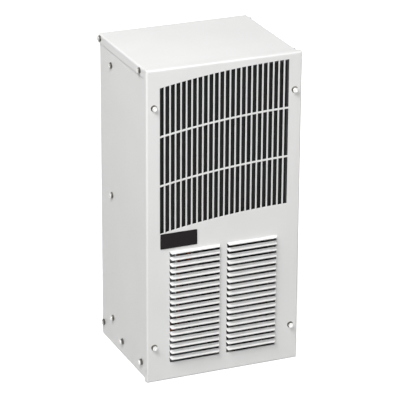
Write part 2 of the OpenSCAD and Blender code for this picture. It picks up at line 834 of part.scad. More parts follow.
// Shroud: plate with the fan's orifice, side flanges, and the shelf that carries the coil
module fan_shroud() color(alloy) difference() {
    union() {
        slab([-partition_web_x, partition_web_x], [shroud_d, shroud_back], [shelf_z, shroud_top]);
        slab([-partition_web_x, partition_web_x], [filter_d, shroud_back], [shelf_z, coil_z]);
        plan_prism([coil_z, partition_high]) difference() {
            round_rect([-inner_x, shroud_back - shroud_flange], [inner_x, shroud_back], bend_r,
                [[0, 1], [1, 1]]);
            round_rect([sheet - inner_x, shroud_back - shroud_flange - overrun], [inner_x - sheet, shroud_d],
                bend_r - sheet, [[0, 1], [1, 1]]);
        }
    }
    rod_d(0, [shroud_d - overrun, shroud_back + overrun], condenser_fan_z, condenser_bore_r);
    for (a = [45 : 90 : 315])
        rod_d(condenser_screw_at * cos(a), [shroud_d - overrun, shroud_back + overrun],
            condenser_fan_z + condenser_screw_at * sin(a), fan_screw_hole_r);
    for (d = [liquid_d, discharge_d])
        rod_z(line_x, d, [shelf_z - overrun, coil_z + overrun], condenser_tube_r + line_hole_gap);
}

// Coil: stack of fins, two end plates and one tube that runs to and fro through them
function row_z(i, low, pitch) = low + (i + 0.5) * pitch;
module coil_sheet(t, d, low, pitch, column, r, foot) {
    rotate([90, 0, 90]) linear_extrude(t) difference() {
        union() {
            translate([front_y + d[0], low]) square([d[1] - d[0], coil_rows * pitch]);
            if (foot > 0) translate([front_y + d[0], low - foot])
                square([tray_back - tray_t - clear - d[0], foot + sheet]);
        }
        for (i = [0 : coil_rows - 1], s = [-1, 1])
            translate([front_y + column[0] + s * column[1] / 2, row_z(i, low, pitch)]) circle(r);
    }
}
module coil_fins(half, d, low, pitch, column, r) {
    count = floor((2 * half - fin_pitch) / fin_pitch);
    for (i = [0 : count])
        translate([(i - count / 2) * fin_pitch - fin_t / 2, 0, 0])
            coil_sheet(fin_t, d, low, pitch, column, r + snug, 0);
}
module coil_ends(half, d, low, pitch, column, r, foot) {
    for (x = [-half - sheet, half])
        translate([x, 0, 0]) coil_sheet(sheet, d, low, pitch, column, r + snug, foot);
}
module half_turn(side, bend, r) {
    rotate([0, 0, side > 0 ? -90 : 90]) rotate_extrude(angle = 180) translate([bend, 0]) circle(r);
}
module coil_tube(half, low, pitch, column, r, ports_low) {
    end = half + sheet + coil_stub;
    for (i = [0 : coil_rows - 1], s = [-1, 1])
        rod_x([-end, end], column[0] + s * column[1] / 2, row_z(i, low, pitch), r);
    for (i = [0 : coil_rows - 2], s = [-1, 1]) {
        step = ports_low ? i : coil_rows - 2 - i;
        side = step % 2 == 0 ? 1 : -1;
        translate([side * end, front_y + column[0] + s * column[1] / 2, row_z(i + 0.5, low, pitch)])
            rotate([90, 0, 0]) half_turn(side, pitch / 2, r);
    }
    last = ports_low ? coil_rows - 1 : 0;
    translate([end, front_y + column[0], row_z(last, low, pitch)]) half_turn(1, column[1] / 2, r);
}
module condenser_fins() color(alloy)
    coil_fins(condenser_half, condenser_span, coil_z, condenser_pitch, condenser_columns, condenser_tube_r);
module condenser_end_plates() color(zinc)
    coil_ends(condenser_half, [condenser_d, shroud_d], coil_z, condenser_pitch, condenser_columns,
        condenser_tube_r, 0);
module condenser_tube() color(copper)
    coil_tube(condenser_half, coil_z, condenser_pitch, condenser_columns, condenser_tube_r, true);
module evaporator_fins() color(alloy)
    coil_fins(evaporator_half, evaporator_span, evaporator_z, evaporator_pitch, evaporator_columns,
        evaporator_tube_r);
module evaporator_end_plates() color(zinc)
    coil_ends(evaporator_half, [evaporator_d, rear_d], evaporator_z, evaporator_pitch, evaporator_columns,
        evaporator_tube_r, tray_h - tray_t);
module evaporator_tube() color(copper)
    coil_tube(evaporator_half, evaporator_z, evaporator_pitch, evaporator_columns, evaporator_tube_r, false);

// Fans: frames in which z runs from the intake face to the spider
module at_condenser_fan() {
    translate([0, front_y + shroud_back, condenser_fan_z]) rotate([-90, 0, 0]) children();
}
module at_evaporator_fan() {
    translate([0, front_y + rear_d, evaporator_fan_z]) rotate([90, 0, 0]) children();
}
module fan_spider(bore, hub, length) difference() {
    union() {
        translate([0, 0, length - spider_t]) {
            cylinder(r = hub - hub_wall, h = spider_t);
            intersection() {
                cylinder(r = bore - spider_fit, h = spider_t);
                for (i = [0 : arm_count - 1]) rotate(i * 360 / arm_count)
                    translate([0, -arm_w / 2, 0]) cube([bore, arm_w, spider_t]);
            }
        }
        translate([0, 0, tube_start]) cylinder(r = bearing_tube_r, h = length - tube_start);
    }
    translate([0, 0, tube_start - overrun]) cylinder(r = bearing_r + snug, h = length);
}
module fan_bearings(length) for (z = [tube_start, length - bearing_len]) translate([0, 0, z]) difference() {
    cylinder(r = bearing_r, h = bearing_len);
    translate([0, 0, -overrun]) cylinder(r = shaft_r + running, h = bearing_len + 2 * overrun);
}
module fan_stator(hub, length) {
    r = hub - hub_wall - hub_gap;
    slot_r = stator_slot_share * (r - bearing_tube_r);
    start = tube_start + hub_gap;
    difference() {
        translate([0, 0, start]) cylinder(r = r, h = length - spider_t - start);
        translate([0, 0, start - overrun]) cylinder(r = bearing_tube_r + snug, h = length);
        for (i = [0 : stator_poles - 1]) rotate(i * 360 / stator_poles)
            translate([(bearing_tube_r + r) / 2, 0, start - overrun]) {
                cylinder(r = slot_r, h = length);
                translate([0, -slot_r / 3, 0]) cube([r, slot_r * 2 / 3, length]);
            }
    }
}
module fan_blade(bore, hub, low, high) {
    rise = high - low;
    chord = rise / sin(blade_pitch);
    half_y = rise / tan(blade_pitch) / 2 + blade_t;
    camber_r = blade_camber_share * chord;
    reach = sqrt(camber_r * camber_r - chord * chord / 4);
    intersection() {
        translate([0, 0, low]) difference() {
            cylinder(r = bore - tip_gap, h = rise);
            translate([0, 0, -overrun]) cylinder(r = hub - hub_wall / 2, h = rise + 2 * overrun);
        }
        translate([0, -half_y, low]) cube([bore, 2 * half_y, rise]);
        translate([0, 0, (low + high) / 2]) rotate([blade_pitch, 0, 0]) translate([0, 0, -reach])
            rotate([0, 90, 0]) difference() {
                cylinder(r = camber_r + blade_t / 2, h = bore, $fn = 180);
                translate([0, 0, -overrun])
                    cylinder(r = camber_r - blade_t / 2, h = bore + 2 * overrun, $fn = 180);
            }
    }
}
module fan_impeller(bore, hub, length) {
    back = length - spider_t - hub_gap;
    difference() {
        translate([0, 0, fan_nose]) cylinder(r = hub, h = back - fan_nose);
        translate([0, 0, fan_nose + hub_wall]) cylinder(r = hub - hub_wall, h = length);
    }
    for (i = [0 : blade_count - 1]) rotate(i * 360 / blade_count)
        fan_blade(bore, hub, fan_nose + blade_inset, back - blade_inset);
    translate([0, 0, fan_nose + hub_wall / 2])
        cylinder(r = shaft_r, h = length - shaft_short - fan_nose - hub_wall / 2);
}
module fan_screw(length) {
    difference() {
        cylinder(r = fan_head_r, h = fan_head_h);
        translate([-fan_head_r, -fan_screw_slot / 2, fan_head_h - fan_slot_deep])
            cube([2 * fan_head_r, fan_screw_slot, fan_slot_deep + overrun]);
    }
    translate([0, 0, -length]) cylinder(r = fan_screw_r, h = length + fan_head_h / 2);
}

module condenser_fan_housing() color(dark) at_condenser_fan() {
    difference() {
        union() {
            cylinder(r = condenser_bore_r + condenser_ring_t, h = condenser_fan_len);
            cylinder(r = condenser_bore_r + condenser_lip, h = condenser_ring_t);
            for (a = [45 : 90 : 315]) rotate(a) translate([condenser_screw_at, 0, 0]) {
                cylinder(r = lug_r, h = lug_t);
                translate([-lug_r - lug_gap, -lug_r, 0]) cube([lug_r + lug_gap, 2 * lug_r, lug_t]);
            }
        }
        translate([0, 0, -overrun]) cylinder(r = condenser_bore_r, h = condenser_fan_len + 2 * overrun);
        for (a = [45 : 90 : 315]) rotate(a) translate([condenser_screw_at, 0, -overrun])
            cylinder(r = fan_screw_hole_r, h = lug_t + 2 * overrun);
    }
}
module condenser_fan_spider() color(dark)
    at_condenser_fan() fan_spider(condenser_bore_r, condenser_hub_r, condenser_fan_len);
module condenser_fan_bearings() color(zinc) at_condenser_fan() fan_bearings(condenser_fan_len);
module condenser_fan_stator() color(copper) at_condenser_fan()
    fan_stator(condenser_hub_r, condenser_fan_len);
module condenser_fan_impeller() color(dark) at_condenser_fan()
    fan_impeller(condenser_bore_r, condenser_hub_r, condenser_fan_len);
module condenser_fan_screws() color(zinc) at_condenser_fan() for (a = [45 : 90 : 315])
    rotate(a) translate([condenser_screw_at, 0, lug_t]) fan_screw(lug_t + sheet);

module evaporator_fan_housing() color(dark) at_evaporator_fan() {
    half = evaporator_fan_side / 2;
    all_round = [[0, 0], [0, 1], [1, 0], [1, 1]];
    difference() {
        union() {
            for (z = [0, evaporator_fan_len - fan_flange_t]) translate([0, 0, z])
                linear_extrude(fan_flange_t)
                    round_rect([-half, -half], [half, half], fan_corner_r, all_round);
            cylinder(r = evaporator_bore_r + fan_ring_t, h = evaporator_fan_len);
            for (x = [-1, 1], y = [-1, 1])
                translate([x * evaporator_screw_x, y * evaporator_screw_x, 0])
                    cylinder(r = fan_boss_r, h = evaporator_fan_len);
        }
        translate([0, 0, -overrun]) cylinder(r = evaporator_bore_r, h = evaporator_fan_len + 2 * overrun);
        for (x = [-1, 1], y = [-1, 1])
            translate([x * evaporator_screw_x, y * evaporator_screw_x, -overrun])
                cylinder(r = fan_screw_hole_r, h = evaporator_fan_len + 2 * overrun);
    }
}
module evaporator_fan_spider() color(dark)
    at_evaporator_fan() fan_spider(evaporator_bore_r, evaporator_hub_r, evaporator_fan_len);
module evaporator_fan_bearings() color(zinc) at_evaporator_fan() fan_bearings(evaporator_fan_len);
module evaporator_fan_stator() color(copper) at_evaporator_fan()
    fan_stator(evaporator_hub_r, evaporator_fan_len);
module evaporator_fan_impeller() color(dark) at_evaporator_fan()
    fan_impeller(evaporator_bore_r, evaporator_hub_r, evaporator_fan_len);
module evaporator_fan_screws() color(zinc) for (x = [-1, 1], z = [-1, 1])
    translate([x * evaporator_screw_x, front_y + unit_d + guard_wire_r + guard_eye_t / 2,
        evaporator_fan_z + z * evaporator_screw_x]) rotate([-90, 0, 0]) fan_screw(evaporator_screw_len);

// Guard of welded wire over the return opening, its eyes under the fan's screws
module return_air_guard() color(zinc)
    translate([0, front_y + unit_d + guard_wire_r, evaporator_fan_z]) rotate([-90, 0, 0]) {
        corner_r = norm([evaporator_screw_x, evaporator_screw_x]);
        for (i = [1 : guard_rings]) translate([0, 0, guard_rise]) rotate_extrude()
            translate([(return_hole_r + guard_lap) * i / guard_rings, 0]) circle(guard_wire_r, $fn = 24);
        translate([0, 0, guard_rise - guard_cap_t]) cylinder(r = guard_cap_r, h = guard_cap_t);
        for (a = [45 : 90 : 315]) rotate(a) {
            translate([guard_hub_r, 0, 0]) rotate([0, 90, 0])
                cylinder(r = guard_wire_r, h = corner_r - guard_hub_r - fan_head_r - snug, $fn = 24);
            translate([corner_r, 0, -guard_eye_t / 2]) difference() {
                cylinder(r = guard_eye_r, h = guard_eye_t);
                translate([0, 0, -overrun]) cylinder(r = fan_screw_r + snug, h = guard_eye_t + 2 * overrun);
            }
        }
    }

// Condensate tray under the evaporator, and its drain
module condensate_tray() color(dark) difference() {
    slab([-tray_x, tray_x], [foam_back, tray_back], [tray_z, tray_z + tray_h]);
    slab([tray_t - tray_x, tray_x - tray_t], [foam_back + tray_t, tray_back - tray_t],
        [tray_z + tray_t, tray_z + tray_h + overrun]);
    rod_z(drain_x, drain_d, [tray_z - overrun, tray_z + tray_h], drain_r + snug);
}
module drain_tube() color(dark) difference() {
    union() {
        rod_z(drain_x, drain_d, [cover_gap, tray_z + tray_t], drain_r);
        rod_z(drain_x, drain_d, [tray_z + tray_t, tray_z + tray_t + drain_flange_t], drain_flange_r);
    }
    rod_z(drain_x, drain_d, [0, tray_z + tray_h], drain_bore_r);
}

// Compressor: welded shell with domed ends, standing on three rubber mounts
module dome_outline() {
    intersection() {
        translate([0, dome_h - crown_r]) circle(crown_r, $fn = 360);
        square([crown_x, dome_h]);
    }
    intersection() {
        translate([shoulder_x, 0]) circle(shoulder_r, $fn = 96);
        square([shell_r, dome_h]);
    }
    square([shoulder_x, dome_h - shoulder_r]);
}
module compressor_shell() color(dark) {
    seam_z = shell_top - dome_h - seam_h;
    translate([compressor_x, front_y + compressor_d, 0]) {
        translate([0, 0, shell_z + dome_h + shell_wall]) rotate_extrude() dome_outline();
        translate([0, 0, shell_z + dome_h]) cylinder(r = shell_r, h = shell_wall);
        translate([0, 0, shell_z + dome_h]) rotate_extrude() mirror([0, 1]) dome_outline();
        translate([0, 0, seam_z]) cylinder(r = shell_r + seam_r, h = seam_h);
        translate([0, 0, shell_top - overrun]) cylinder(r = stub_r, h = stub_h + overrun);
    }
    rod_z(cap_x, compressor_d, [shell_top - dome_h / 2, shell_top + boss_h], cap_r);
    rod_x([compressor_x - shell_r - inlet_stub_len, compressor_x], compressor_d, inlet_stub_z, stub_r);
}
module at_feet() {
    translate([compressor_x, front_y + compressor_d, 0])
        for (a = [0, 120, 240]) rotate(a) translate([foot_circle_r, 0, 0]) children();
}
module compressor_feet() color(dark) translate([compressor_x, front_y + compressor_d, foot_z])
    linear_extrude(foot_t) difference() {
        union() {
            circle(foot_disc_r);
            for (a = [0, 120, 240]) rotate(a) {
                translate([foot_circle_r, 0]) circle(foot_lobe_r);
                translate([foot_hole_r, -foot_arm_w / 2]) square([foot_circle_r - foot_hole_r, foot_arm_w]);
            }
        }
        circle(foot_hole_r);
        for (a = [0, 120, 240]) rotate(a) translate([foot_circle_r, 0]) circle(grommet_waist_r + snug);
    }
module compressor_grommets() color(dark) at_feet() difference() {
    union() {
        translate([0, 0, floor_z]) cylinder(r = grommet_r, h = grommet_h);
        translate([0, 0, foot_z]) cylinder(r = grommet_waist_r, h = foot_t);
        translate([0, 0, foot_z + foot_t]) cylinder(r = grommet_r, h = grommet_collar);
    }
    translate([0, 0, floor_z - overrun]) cylinder(r = grommet_bore_r, h = washer_z);
}
module compressor_bolts() color(zinc) at_feet() {
    translate([0, 0, floor_z])
        cylinder(r = bolt_r, h = washer_z + washer_t + bolt_nut_h + bolt_over - floor_z);
    translate([0, 0, washer_z]) cylinder(r = washer_r, h = washer_t);
    translate([0, 0, washer_z + washer_t]) cylinder(r = bolt_nut_r, h = bolt_nut_h, $fn = 6);
}
module compressor_terminal_cover() color(dark) {
    translate([cap_x, front_y + compressor_d, shell_top + boss_h]) rotate_extrude()
        difference() {
            square([cap_r, cap_h]);
            difference() {
                translate([cap_r - cap_round, cap_h - cap_round]) square(cap_round + overrun);
                translate([cap_r - cap_round, cap_h - cap_round]) circle(cap_round);
            }
        }
}

// Upright vessel with a spherical cap at each end
module vessel(r, h, cap) {
    ball_r = (r * r + cap * cap) / (2 * cap);
    translate([0, 0, cap]) cylinder(r = r, h = h - 2 * cap);
    intersection() {
        cylinder(r = r, h = cap);
        translate([0, 0, ball_r]) sphere(ball_r);
    }
    translate([0, 0, h - cap]) intersection() {
        cylinder(r = r, h = cap);
        translate([0, 0, cap - ball_r]) sphere(ball_r);
    }
}
module accumulator() color(dark) {
    translate([accumulator_x, front_y + compressor_d, accumulator_z])
        vessel(accumulator_r, accumulator_len, accumulator_end);
    rod_z(accumulator_x, compressor_d,
        [accumulator_top - accumulator_end, accumulator_top + accumulator_neck], stub_r);
    line([
        [accumulator_x, compressor_d, accumulator_z + accumulator_end],
        [accumulator_x, compressor_d, inlet_stub_z],
        [compressor_x - shell_r - inlet_stub_len, compressor_d, inlet_stub_z]
    ], evaporator_tube_r, line_bend);
    difference() {
        slab([accumulator_x, compressor_x], [compressor_d - strap_w / 2, compressor_d + strap_w / 2],
            [accumulator_top - accumulator_len / 2, accumulator_top - accumulator_len / 2 + strap_h]);
        rod_z(compressor_x, compressor_d, [accumulator_z, accumulator_top], shell_r + snug);
    }
}

// Refrigerant lines
module discharge_line() color(copper) line([
    [condenser_port_x, discharge_d, condenser_port_z],
    [line_x, discharge_d, condenser_port_z],
    [line_x, discharge_d, discharge_z],
    [compressor_x, discharge_d, discharge_z],
    [compressor_x, compressor_d, discharge_z],
    [compressor_x, compressor_d, shell_top + stub_h]
], condenser_tube_r, line_bend);
module liquid_line() color(copper) line([
    [condenser_port_x, liquid_d, condenser_port_z],
    [line_x, liquid_d, condenser_port_z],
    [line_x, liquid_d, drier_top + drier_neck]
], condenser_tube_r, line_bend);
module suction_line() color(copper) line([
    [evaporator_port_x, suction_d, evaporator_port_z],
    [suction_x, suction_d, evaporator_port_z],
    [suction_x, suction_d, suction_z],
    [suction_x, suction_drop_d, suction_z],
    [suction_x, suction_drop_d, suction_low_z],
    [accumulator_x, suction_drop_d, suction_low_z],
    [accumulator_x, compressor_d, suction_low_z],
    [accumulator_x, compressor_d, accumulator_top + accumulator_neck]
], evaporator_tube_r, line_bend);
module filter_drier() color(copper) {
    translate([line_x, front_y + liquid_d, drier_top - drier_len]) vessel(drier_r, drier_len, drier_end);
    rod_z(line_x, liquid_d, [drier_top - drier_end, drier_top + drier_neck], condenser_tube_r);
    rod_z(line_x, liquid_d, [drier_top - drier_len - drier_neck, drier_top - drier_len + drier_end],
        condenser_tube_r);
}
function capillary_level(i) = capillary_top_z - i * capillary_step;
module capillary_tube() color(copper) line(concat(
    [
        [line_x, liquid_d, drier_top - drier_len - drier_neck],
        [line_x, liquid_d, capillary_top_z]
    ],
    [for (i = [0 : capillary_turns - 1]) each [
        [line_x, capillary_high_d, capillary_level(i)],
        [capillary_right_x, capillary_high_d, capillary_level(i)],
        [capillary_right_x, capillary_low_d, capillary_level(i)],
        [line_x, capillary_low_d, capillary_level(i)],
        [line_x, capillary_low_d, capillary_level(i + 1)]
    ]],
    [
        [line_x, capillary_high_d, capillary_level(capillary_turns)],
        [capillary_riser_x, capillary_high_d, capillary_level(capillary_turns)],
        [capillary_riser_x, capillary_high_d, capillary_cross_z],
        [capillary_riser_x, capillary_cross_d, capillary_cross_z],
        [capillary_side_x, capillary_cross_d, capillary_cross_z],
        [capillary_side_x, capillary_cross_d, capillary_over_z],
        [capillary_side_x, capillary_d, capillary_over_z],
        [capillary_side_x, capillary_d, evaporator_port_z],
        [evaporator_port_x, capillary_d, evaporator_port_z]
    ]
), capillary_r, capillary_bend);

// Control box on the partition, and the electrical pieces in it
module control_box() color(alloy) difference() {
    slab([box_x, box_x + box_w], [box_front_d, partition_d], [box_z, box_z + box_h]);
    slab([box_x + sheet, box_x + box_w - sheet], [box_front_d - overrun, box_back_d],
        [box_z + sheet, box_z + box_h - sheet]);
}
module run_capacitor() color(alloy) {
    x = box_x + sheet + box_gap + capacitor_r;
    d = box_front_d + box_gap + capacitor_r;
    rod_z(x, d, [box_z + sheet, box_z + sheet + capacitor_h], capacitor_r);
    for (s = [-1, 1])
        slab([x - capacitor_blade / 2, x + capacitor_blade / 2],
            [d + s * capacitor_blade, d + s * capacitor_blade + capacitor_blade_t],
            [box_z + sheet + capacitor_h, box_z + sheet + capacitor_h + capacitor_blade]);
}
module compressor_relay() color(dark) {
    x = box_x + box_w / 2;
    low = box_z + sheet + box_gap;
    slab([x - relay_w / 2, x + relay_w / 2], [box_back_d - relay_d, box_back_d], [low, low + relay_h]);
    for (s = [-1, 0, 1])
        slab([x + s * relay_tab * 2 - relay_tab / 2, x + s * relay_tab * 2 + relay_tab / 2],
            [box_back_d - relay_d - relay_tab, box_back_d - relay_d],
            [low + relay_h / 2, low + relay_h / 2 + capacitor_blade_t]);
}
module terminal_block() color(dark) {
    x = box_x + (box_w - block_w) / 2;
    low = box_z + box_h - sheet - box_gap - block_h;
    pole = (block_w - block_rib) / block_poles;
    difference() {
        slab([x, x + block_w], [box_back_d - block_d, box_back_d], [low, low + block_h]);
        for (i = [0 : block_poles - 1])
            slab([x + block_rib + i * pole, x + (i + 1) * pole],
                [box_back_d - block_d - overrun, box_back_d - block_d + block_deep],
                [low - overrun, low + block_h + overrun]);
    }
    for (i = [0 : block_poles - 1])
        rod_d(x + block_rib / 2 + (i + 0.5) * pole,
            [box_back_d - block_d + block_deep - block_rib, box_back_d - block_d + block_deep],
            low + block_h / 2, block_screw_r);
}

// Thermostat behind the rear panel, its knob on the enclosure's side
module thermostat_body() color(dark) {
    slab([control_x - thermostat_w / 2, control_x + thermostat_w / 2], [rear_d - thermostat_d, rear_d],
        [knob_z - thermostat_h / 2, knob_z + thermostat_h / 2]);
    rod_d(control_x, [rear_d, unit_d], knob_z, thermostat_collar_r);
    rod_d(control_x, [rear_d, unit_d + knob_gap + knob_h - knob_wall], knob_z, thermostat_shaft_r);
}
module thermostat_knob() color(dark) difference() {
    rod_d(control_x, [unit_d + knob_gap, unit_d + knob_gap + knob_h], knob_z, knob_r);
    rod_d(control_x, [unit_d, unit_d + knob_gap + knob_h - knob_wall + knob_end], knob_z,
        thermostat_shaft_r + running);
    translate([control_x, front_y + unit_d, knob_z]) rotate([-90, 0, 0]) {
        for (i = [0 : knob_flutes - 1]) rotate((i + 0.5) * 360 / knob_flutes)
            translate([knob_r + knob_flute_r / 2, 0, 0])
                cylinder(r = knob_flute_r, h = knob_gap + knob_h + overrun);
        translate([0, -knob_mark_w / 2, knob_gap + knob_h - knob_mark_deep])
            cube([knob_r, knob_mark_w, knob_mark_deep + overrun]);
    }
}
module power_inlet_bushing() color(dark) difference() {
    union() {
        rod_d(control_x, [unit_d, unit_d + inlet_flange_t], inlet_z, inlet_flange_r);
        rod_d(control_x, [unit_d - inlet_len, unit_d], inlet_z, inlet_r);
    }
    rod_d(control_x, [unit_d - inlet_len - overrun, unit_d + inlet_flange_t + overrun], inlet_z,
        inlet_bore_r);
}

front_cover();
nameplate();
top_cover();
left_side_panel();
right_side_panel();
rear_panel();
base_pan();
partition();
partition_insulation();
mounting_gasket();
mounting_nuts();
front_screws();
top_screws();
side_screws();
filter_frame();
filter_pad();
fan_shroud();
condenser_fins();
condenser_end_plates();
condenser_tube();
condenser_fan_housing();
condenser_fan_spider();
condenser_fan_bearings();
condenser_fan_stator();
condenser_fan_impeller();
condenser_fan_screws();
evaporator_fins();
evaporator_end_plates();
evaporator_tube();
evaporator_fan_housing();
evaporator_fan_spider();
evaporator_fan_bearings();
evaporator_fan_stator();
evaporator_fan_impeller();
evaporator_fan_screws();
return_air_guard();
condensate_tray();
drain_tube();
compressor_shell();
compressor_feet();
compressor_grommets();
compressor_bolts();
compressor_terminal_cover();
accumulator();
discharge_line();
suction_line();
liquid_line();
filter_drier();
capillary_tube();
control_box();
run_capacitor();
compressor_relay();
terminal_block();
thermostat_body();
thermostat_knob();
power_inlet_bushing();
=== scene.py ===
"""Looks of the enclosure cooling unit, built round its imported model.

The file is laid out as an add-on and run as a script. Lengths inside the shape functions are in
millimetres; x runs across the unit, y from the front cover back to the mounting face, z upwards.
"""

import json
import math

import bmesh
import bpy
import numpy as np
from mathutils import Matrix, Vector


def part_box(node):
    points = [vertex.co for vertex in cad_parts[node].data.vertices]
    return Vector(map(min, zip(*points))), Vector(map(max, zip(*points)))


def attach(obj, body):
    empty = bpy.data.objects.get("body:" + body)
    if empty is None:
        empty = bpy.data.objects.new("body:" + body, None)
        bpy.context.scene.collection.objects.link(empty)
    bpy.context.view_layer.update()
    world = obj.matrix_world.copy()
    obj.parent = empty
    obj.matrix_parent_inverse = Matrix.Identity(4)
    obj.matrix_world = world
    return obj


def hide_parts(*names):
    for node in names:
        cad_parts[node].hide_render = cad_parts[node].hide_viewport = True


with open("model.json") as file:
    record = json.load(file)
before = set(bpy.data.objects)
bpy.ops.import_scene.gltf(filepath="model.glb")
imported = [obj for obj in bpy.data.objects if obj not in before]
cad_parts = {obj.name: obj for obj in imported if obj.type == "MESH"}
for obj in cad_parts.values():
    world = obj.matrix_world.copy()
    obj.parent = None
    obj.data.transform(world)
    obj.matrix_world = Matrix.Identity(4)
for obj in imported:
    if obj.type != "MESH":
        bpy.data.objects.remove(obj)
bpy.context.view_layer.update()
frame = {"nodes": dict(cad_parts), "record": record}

bl_info = {
    "name": "Enclosure cooling unit",
    "version": (1, 0, 0),
    "blender": (4, 5, 0),
    "location": "View3D > Sidebar > Cooling Unit",
    "description": "Front cover, screws, seals, fins, finishes and studio of an enclosure cooling unit",
    "category": "Object",
}

MM = 0.001


# Sizes and colours


def box_mm(node):
    """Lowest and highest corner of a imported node, in millimetres."""
    low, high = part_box(node)
    return np.array(low) / MM, np.array(high) / MM


def length(label, description, default_mm):
    """A length property whose default is given in millimetres."""
    return bpy.props.FloatProperty(
        name=label, description=description, default=default_mm * MM, unit="LENGTH", precision=5
    )


def colour(label, description, default_hex):
    """A colour property whose default is an sRGB hex value."""
    return bpy.props.FloatVectorProperty(
        name=label,
        description=description,
        default=linear(default_hex)[:3],
        size=3,
        min=0.0,
        max=1.0,
        subtype="COLOR",
    )


def linear(code):
    """sRGB hex to linear RGBA: the straight foot below 0.04045, the 2.4 power above it."""
    parts = np.array([int(code[i : i + 2], 16) for i in (1, 3, 5)]) / 255.0
    values = np.where(parts <= 0.04045, parts / 12.92, ((parts + 0.055) / 1.055) ** 2.4)
    return (*(float(v) for v in values), 1.0)


COVER_LOW, COVER_HIGH = box_mm("front_cover")
UNIT_DEPTH = 173.0
FACE_Y = box_mm("mounting_gasket")[0][1] - UNIT_DEPTH

# Front cover: slots in a row and rows of them, the plain sheet kept round a bank of louvres, and
# how near two places have to be to count as one
SLOTS, SLOT_ROWS = 24, 3
GUARD = 0.7
TOUCH = 1e-6
# Turns along a quarter circle
QUARTER = np.linspace(0, math.pi / 2, 9)

# Screws: steps round the axis and along the shank
SCREW_TURNS, SHANK_ROWS = 48, 30
# The head's face, and its dish at the floor and at the rim, as shares of the half width over flats
FACE_SHARE, DISH_FLOOR_SHARE, DISH_RIM_SHARE = 0.95, 0.55, 0.66
# The bright band below the corners, the fillet at the head's foot and the washer's rolled edge
HEAD_BAND, HEAD_FILLET, WASHER_ROLL = 0.2, 0.15, 0.25
# The thread's root as a share of its crest; the tip's taper, cut off before its end
ROOT_SHARE = 0.86
TIP_CUT, TIP_LENGTH = 0.9, 1.6
# Depth below the head's top at which the painted dark reflection on its sides begins, and the blend there
DARK_REFLECTION_TOP, DARK_REFLECTION_BLEND = 0.5, 0.1

# Where the screws stand: places across, or the side plane of their seats, depths from the cover's
# face, and heights
COVER_SCREW_X, COVER_SCREW_Z = 97.5, (50.0, 381.5)
LID_SIDE, LID_SCREW_DEPTH, LID_SCREW_Z = 106.4, (27.0, 167.0), 424.7
PANEL_SIDE = 105.2
COLUMN_DEPTH, COLUMN_Z = 130.0, (40.0, 218.0, 399.0)
ROW_DEPTH, ROW_Z = (26.0, 95.0, 164.0), 20.0
# Turn of the first screw's head, and from one screw to the next, in degrees
FIRST_TURN, NEXT_TURN = 23.0, 47.0

# Foam: grid step and unevenness of the insulation; width of the gasket's strips, and height of the
# lower edge of the one across; how far its face is sunk and crowned; rounding of the cut edges;
# how tightly foam and filter pad are filled
FOAM_STEP, FOAM_RELIEF = 9.0, 0.12
GASKET_WIDTH, GASKET_BAR = 10.0, 261.8
GASKET_SINK, GASKET_CROWN = 0.5, 0.45
GASKET_EDGE, INSULATION_EDGE = 0.5, 0.6
# Notches of the insulation for the suction line and the capillary: from, to, low and high
LINE_NOTCHES = ((-99.0, -89.6, 269.8, 279.8), (-99.0, -96.5, 284.0, 288.0))

# Filter pad: ribs, the strip along its edges where they fade out, and its unevenness; how deep its
# faces are sunk everywhere, and between the ribs in front and behind, as shares of its thickness
RIBS, RIB_FADE, PAD_RELIEF = 36, 4.0, 0.12
SINK_SHARE, FRONT_SHARE, BACK_SHARE = 0.06, 0.26, 0.20

# Evaporator fins: pitch, sheet, distance of the outer ones from the ends, and the waves
FIN_PITCH, FIN_GAUGE, FIN_INSET = 2.2, 0.22, 1.0
FIN_SWING, FIN_SWELLS = 0.55, 4
# Plate: corner radius, rolled edge, and where the grid's inner row lies as a share of the way out
PLATE_CORNER, PLATE_ROLL, PLATE_SHARE = 1.0, 0.25, 0.6

# Directions across and up, and phase, of the waves that make a surface uneven
ROLLING_WAVES = ((1.0, 0.37, 1.0), (-0.83, 0.61, 2.1), (0.29, 1.21, 3.7))

# The camera's place in millimetres, and its right, up and backward axes
CAMERA_PLACE = (-1232.2, -2914.4, 1466.6)
CAMERA_AXES = (
    (0.92149, -0.38837, 0.00504),
    (0.13891, 0.34167, 0.9295),
    (-0.36271, -0.85582, 0.36879),
)
# Lamps: name, place and size in metres, and the property that holds the power
LAMPS = (
    ("key lamp", (-1.32, -0.86, 2.30), 1.2, "key"),
    ("front lamp", (0.22, -2.85, 0.80), 1.3, "fill"),
    ("rear lamp", (2.4, 1.2, 0.7), 1.2, "rear"),
)
LAMP_AIM = (0.0, 0.0, 0.22)
# Floor in metres: half its width, the lines of its grid, and how far it lies below the unit
FLOOR_HALF, FLOOR_LINES, FLOOR_DROP = 9, 7, 0.0002
WHITE = (1.0, 1.0, 1.0, 1.0)


